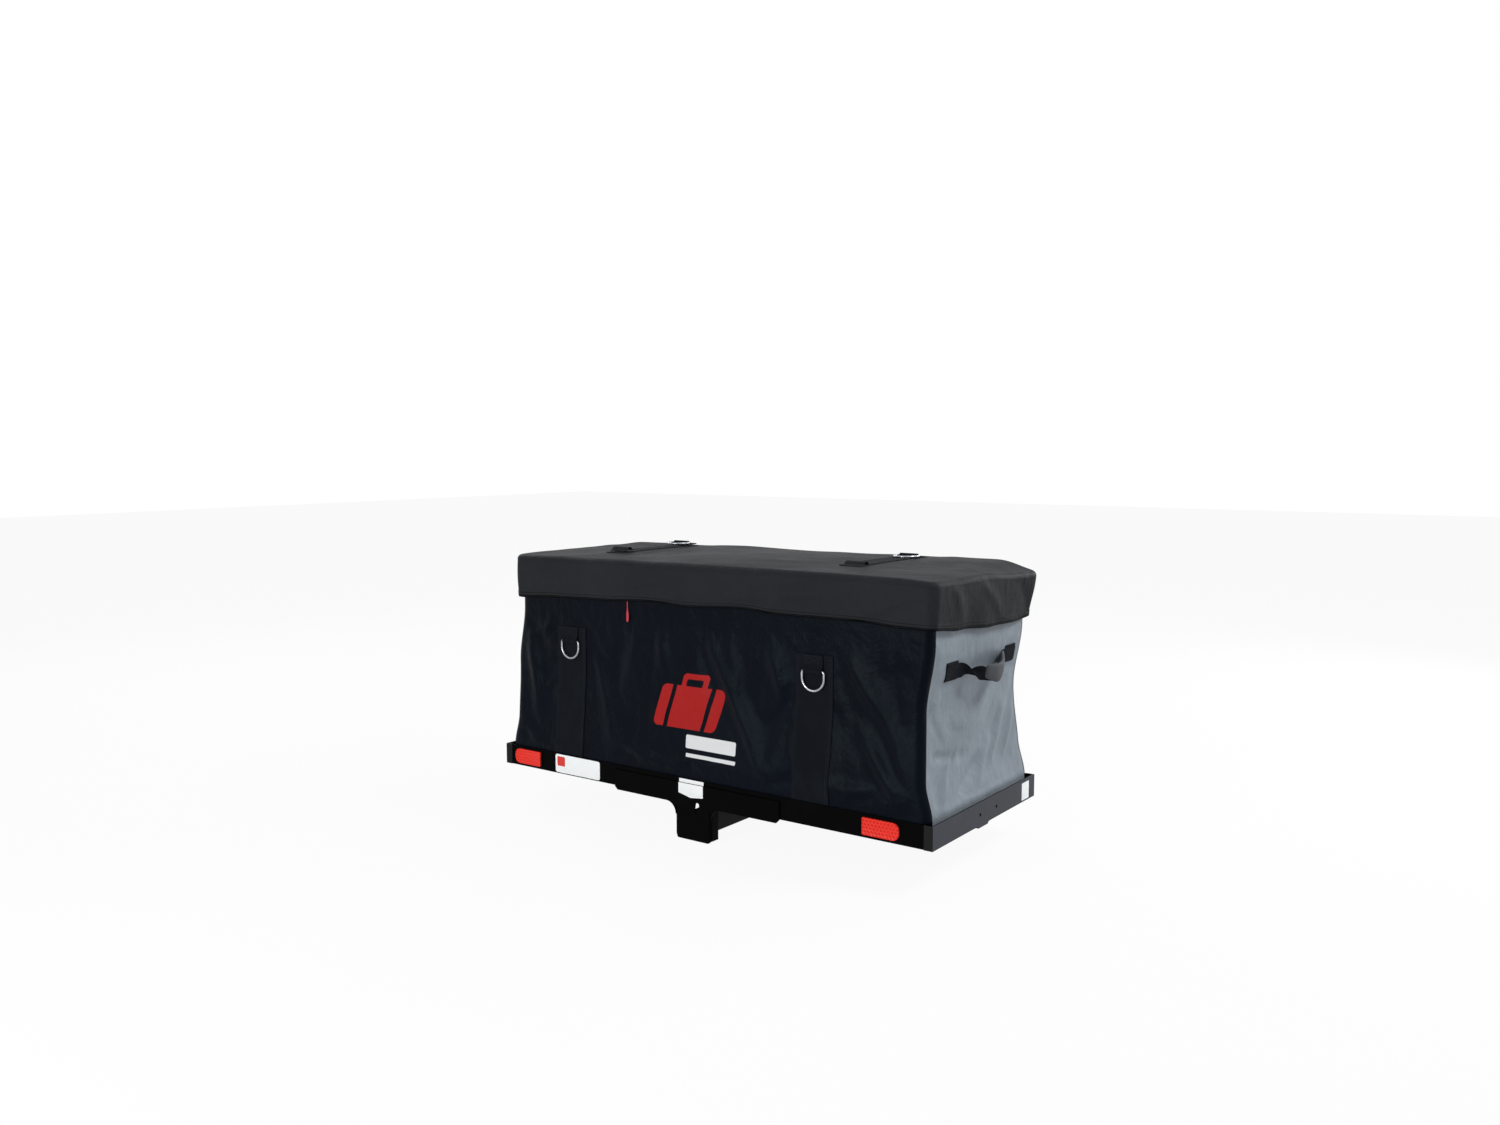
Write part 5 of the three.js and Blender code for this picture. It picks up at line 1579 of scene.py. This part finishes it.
class CARGOBAG_OT_walls(BuildPart, bpy.types.Operator):
    """Sew the four walls of the bag, let their cloth settle and lay the floor panel"""

    bl_idname = "cargobag.walls"
    bl_label = "Bag walls"

    def build(self, context):
        WALLS.update(wall_panels())
        floor_panel()


class CARGOBAG_OT_lid(BuildPart, bpy.types.Operator):
    """Sew the lid's top and its skirt"""

    bl_idname = "cargobag.lid"
    bl_label = "Lid"

    def build(self, context):
        LID["top"] = lid_top_piece()
        lid_skirt_piece()


class CARGOBAG_OT_zip(BuildPart, bpy.types.Operator):
    """Sew in the zip's tape, the gusset above it and the pull"""

    bl_idname = "cargobag.zip"
    bl_label = "Zip"

    def build(self, context):
        size = sizes()
        zip_band("zip_tape_cloth", "webbing", "webbing", ["zip_tape"], 0.454, 0.490,
                 size.cloth + SEAM_GAP, 0.0012)
        zip_band("lid_gusset_cloth", "charcoal", "cloth_charcoal",
                 [f"lid_gusset_{wall}" for wall in ("front", "left", "right")],
                 size.wall_top + 0.016, None, 0, size.cloth)
        pull_tab()


class CARGOBAG_OT_webbing(BuildPart, bpy.types.Operator):
    """Sew the webbing strips and loops onto the walls and the lid"""

    bl_idname = "cargobag.webbing"
    bl_label = "Webbing"

    def build(self, context):
        wall_strips()
        lid_webbing()


class CARGOBAG_OT_rings(BuildPart, bpy.types.Operator):
    """Hang the six lashing rings in their tabs"""

    bl_idname = "cargobag.rings"
    bl_label = "Lashing rings"

    def build(self, context):
        lines = []
        for wall in ("front", "rear", "lid"):
            for side in ("left", "right"):
                lashing_ring(f"{wall}_{side}")
                lines += ring_tab(f"{wall}_{side}")
        stitched("ring_tab_stitching", lines, pitch=0.0036)


class CARGOBAG_OT_handles(BuildPart, bpy.types.Operator):
    """Sew a carrying handle onto each end"""

    bl_idname = "cargobag.handles"
    bl_label = "Handles"

    def build(self, context):
        lines = []
        for side, sign in (("left", -1), ("right", 1)):
            handle_strap(side, sign)
            handle_grip(side, sign)
            for which in (-1, 1):
                lines += handle_patch(side, sign, which)
        stitched("handle_stitching", lines, pitch=0.0036)


class CARGOBAG_OT_stage(BuildPart, bpy.types.Operator):
    """Set the pale floor, the soft lamps and the camera"""

    bl_idname = "cargobag.stage"
    bl_label = "Stage"

    def build(self, context):
        camera()
        floor()
        sky()
        lamps()
        context.scene.view_settings.view_transform = "Standard"


def camera():
    data = bpy.data.cameras.new("camera")
    data.lens, data.sensor_width = 30.324, 36
    data.shift_x, data.shift_y = 0.01567, -0.0034
    data.clip_end = 60
    viewer = bpy.data.objects.new("camera", data)
    viewer.location = (1.75195, -2.95520, 0.89717)
    viewer.rotation_euler = (math.radians(84.860), math.radians(0.118), math.radians(36.559))
    bpy.context.scene.collection.objects.link(viewer)
    bpy.context.scene.camera = viewer


def seen_as_white(tree, lit, share):
    """Mixes a lit shader with a share of plain white for the rays that see the background."""
    nodes, links = tree.nodes, tree.links
    path = nodes.new("ShaderNodeLightPath")
    reach = path.outputs["Is Camera Ray"]
    for other in ("Is Glossy Ray", "Is Transmission Ray"):
        most = nodes.new("ShaderNodeMath")
        most.operation = "MAXIMUM"
        links.new(reach, most.inputs[0])
        links.new(path.outputs[other], most.inputs[1])
        reach = most.outputs[0]
    scaled = nodes.new("ShaderNodeMath")
    scaled.operation = "MULTIPLY"
    links.new(reach, scaled.inputs[0])
    scaled.inputs[1].default_value = share
    white = nodes.new("ShaderNodeEmission" if lit.type != "BACKGROUND" else "ShaderNodeBackground")
    white.inputs["Color"].default_value = (1, 1, 1, 1)
    white.inputs["Strength"].default_value = 1
    mix = nodes.new("ShaderNodeMixShader")
    links.new(scaled.outputs[0], mix.inputs[0])
    links.new(lit.outputs[0], mix.inputs[1])
    links.new(white.outputs[0], mix.inputs[2])
    return mix


def floor():
    bpy.ops.object.select_all(action="DESELECT")
    bpy.ops.mesh.primitive_plane_add(size=30, location=(0, 0, CAD_BOX[0][2] - 0.001))
    ground = started("floor")
    material = bpy.data.materials.new("pale_floor")
    material.use_nodes = True
    tree = material.node_tree
    tree.nodes.clear()
    lit = tree.nodes.new("ShaderNodeBsdfPrincipled")
    lit.inputs["Base Color"].default_value = (0.72, 0.72, 0.72, 1)
    lit.inputs["Roughness"].default_value = 0.9
    out = tree.nodes.new("ShaderNodeOutputMaterial")
    mix = seen_as_white(tree, lit, 0.93)
    tree.links.new(mix.outputs[0], out.inputs["Surface"])
    ground.data.materials.append(material)


def sky():
    world = bpy.data.worlds.new("studio")
    bpy.context.scene.world = world
    world.use_nodes = True
    tree = world.node_tree
    tree.nodes.clear()
    lit = tree.nodes.new("ShaderNodeBackground")
    lit.inputs["Color"].default_value = (1, 1, 1, 1)
    lit.inputs["Strength"].default_value = 0.30
    out = tree.nodes.new("ShaderNodeOutputWorld")
    mix = seen_as_white(tree, lit, 1)
    tree.links.new(mix.outputs[0], out.inputs["Surface"])


def softbox(name, place, target, size, power):
    data = bpy.data.lights.new(name, "AREA")
    data.shape, data.size, data.energy = "SQUARE", size, power
    lamp = bpy.data.objects.new(name, data)
    lamp.location = place
    way = Vector(target) - Vector(place)
    lamp.rotation_euler = way.to_track_quat("-Z", "Y").to_euler()
    bpy.context.scene.collection.objects.link(lamp)


def lamps():
    middle = (0, TRAY.y, 0.35)
    softbox("front_softbox", (-0.2, -3.7, 0.95), middle, 1.1, 56)
    softbox("right_softbox", (2.3, 0.4, 2.9), middle, 1.0, 70)
    softbox("left_softbox", (-3.2, 0.1, 2.2), middle, 1.6, 40)
    softbox("rear_softbox", (1.4, 2.7, 1.5), middle, 1.4, 44)


class CARGOBAG_PT_panel(bpy.types.Panel):
    """Sizes, colours and steps of the cargo bag"""

    bl_idname = "CARGOBAG_PT_panel"
    bl_label = "Cargo bag"
    bl_space_type = "VIEW_3D"
    bl_region_type = "UI"
    bl_category = "Cargo bag"

    def draw(self, context):
        for title, group in (("Sizes", sizes()), ("Colours", colours())):
            box = self.layout.box()
            box.label(text=title)
            for key in group.bl_rna.properties.keys():
                if key not in ("name", "rna_type"):
                    box.prop(group, key)
        for step in STEPS:
            self.layout.operator(step.bl_idname)


STEPS = (
    CARGOBAG_OT_stage, CARGOBAG_OT_finishes, CARGOBAG_OT_steel, CARGOBAG_OT_reflectors,
    CARGOBAG_OT_labels, CARGOBAG_OT_walls, CARGOBAG_OT_lid, CARGOBAG_OT_zip,
    CARGOBAG_OT_webbing, CARGOBAG_OT_rings, CARGOBAG_OT_handles,
)
CLASSES = (CargoBagSizes, CargoBagColours, *STEPS, CARGOBAG_PT_panel)


def register():
    for each in CLASSES:
        bpy.utils.register_class(each)
    bpy.types.Scene.cargo_bag_sizes = bpy.props.PointerProperty(type=CargoBagSizes)
    bpy.types.Scene.cargo_bag_colours = bpy.props.PointerProperty(type=CargoBagColours)


def unregister():
    del bpy.types.Scene.cargo_bag_colours
    del bpy.types.Scene.cargo_bag_sizes
    for each in reversed(CLASSES):
        bpy.utils.unregister_class(each)


def main():
    register()
    for step in STEPS:
        getattr(bpy.ops.cargobag, step.bl_idname.split(".")[1])()


if __name__ == "__main__":
    main()
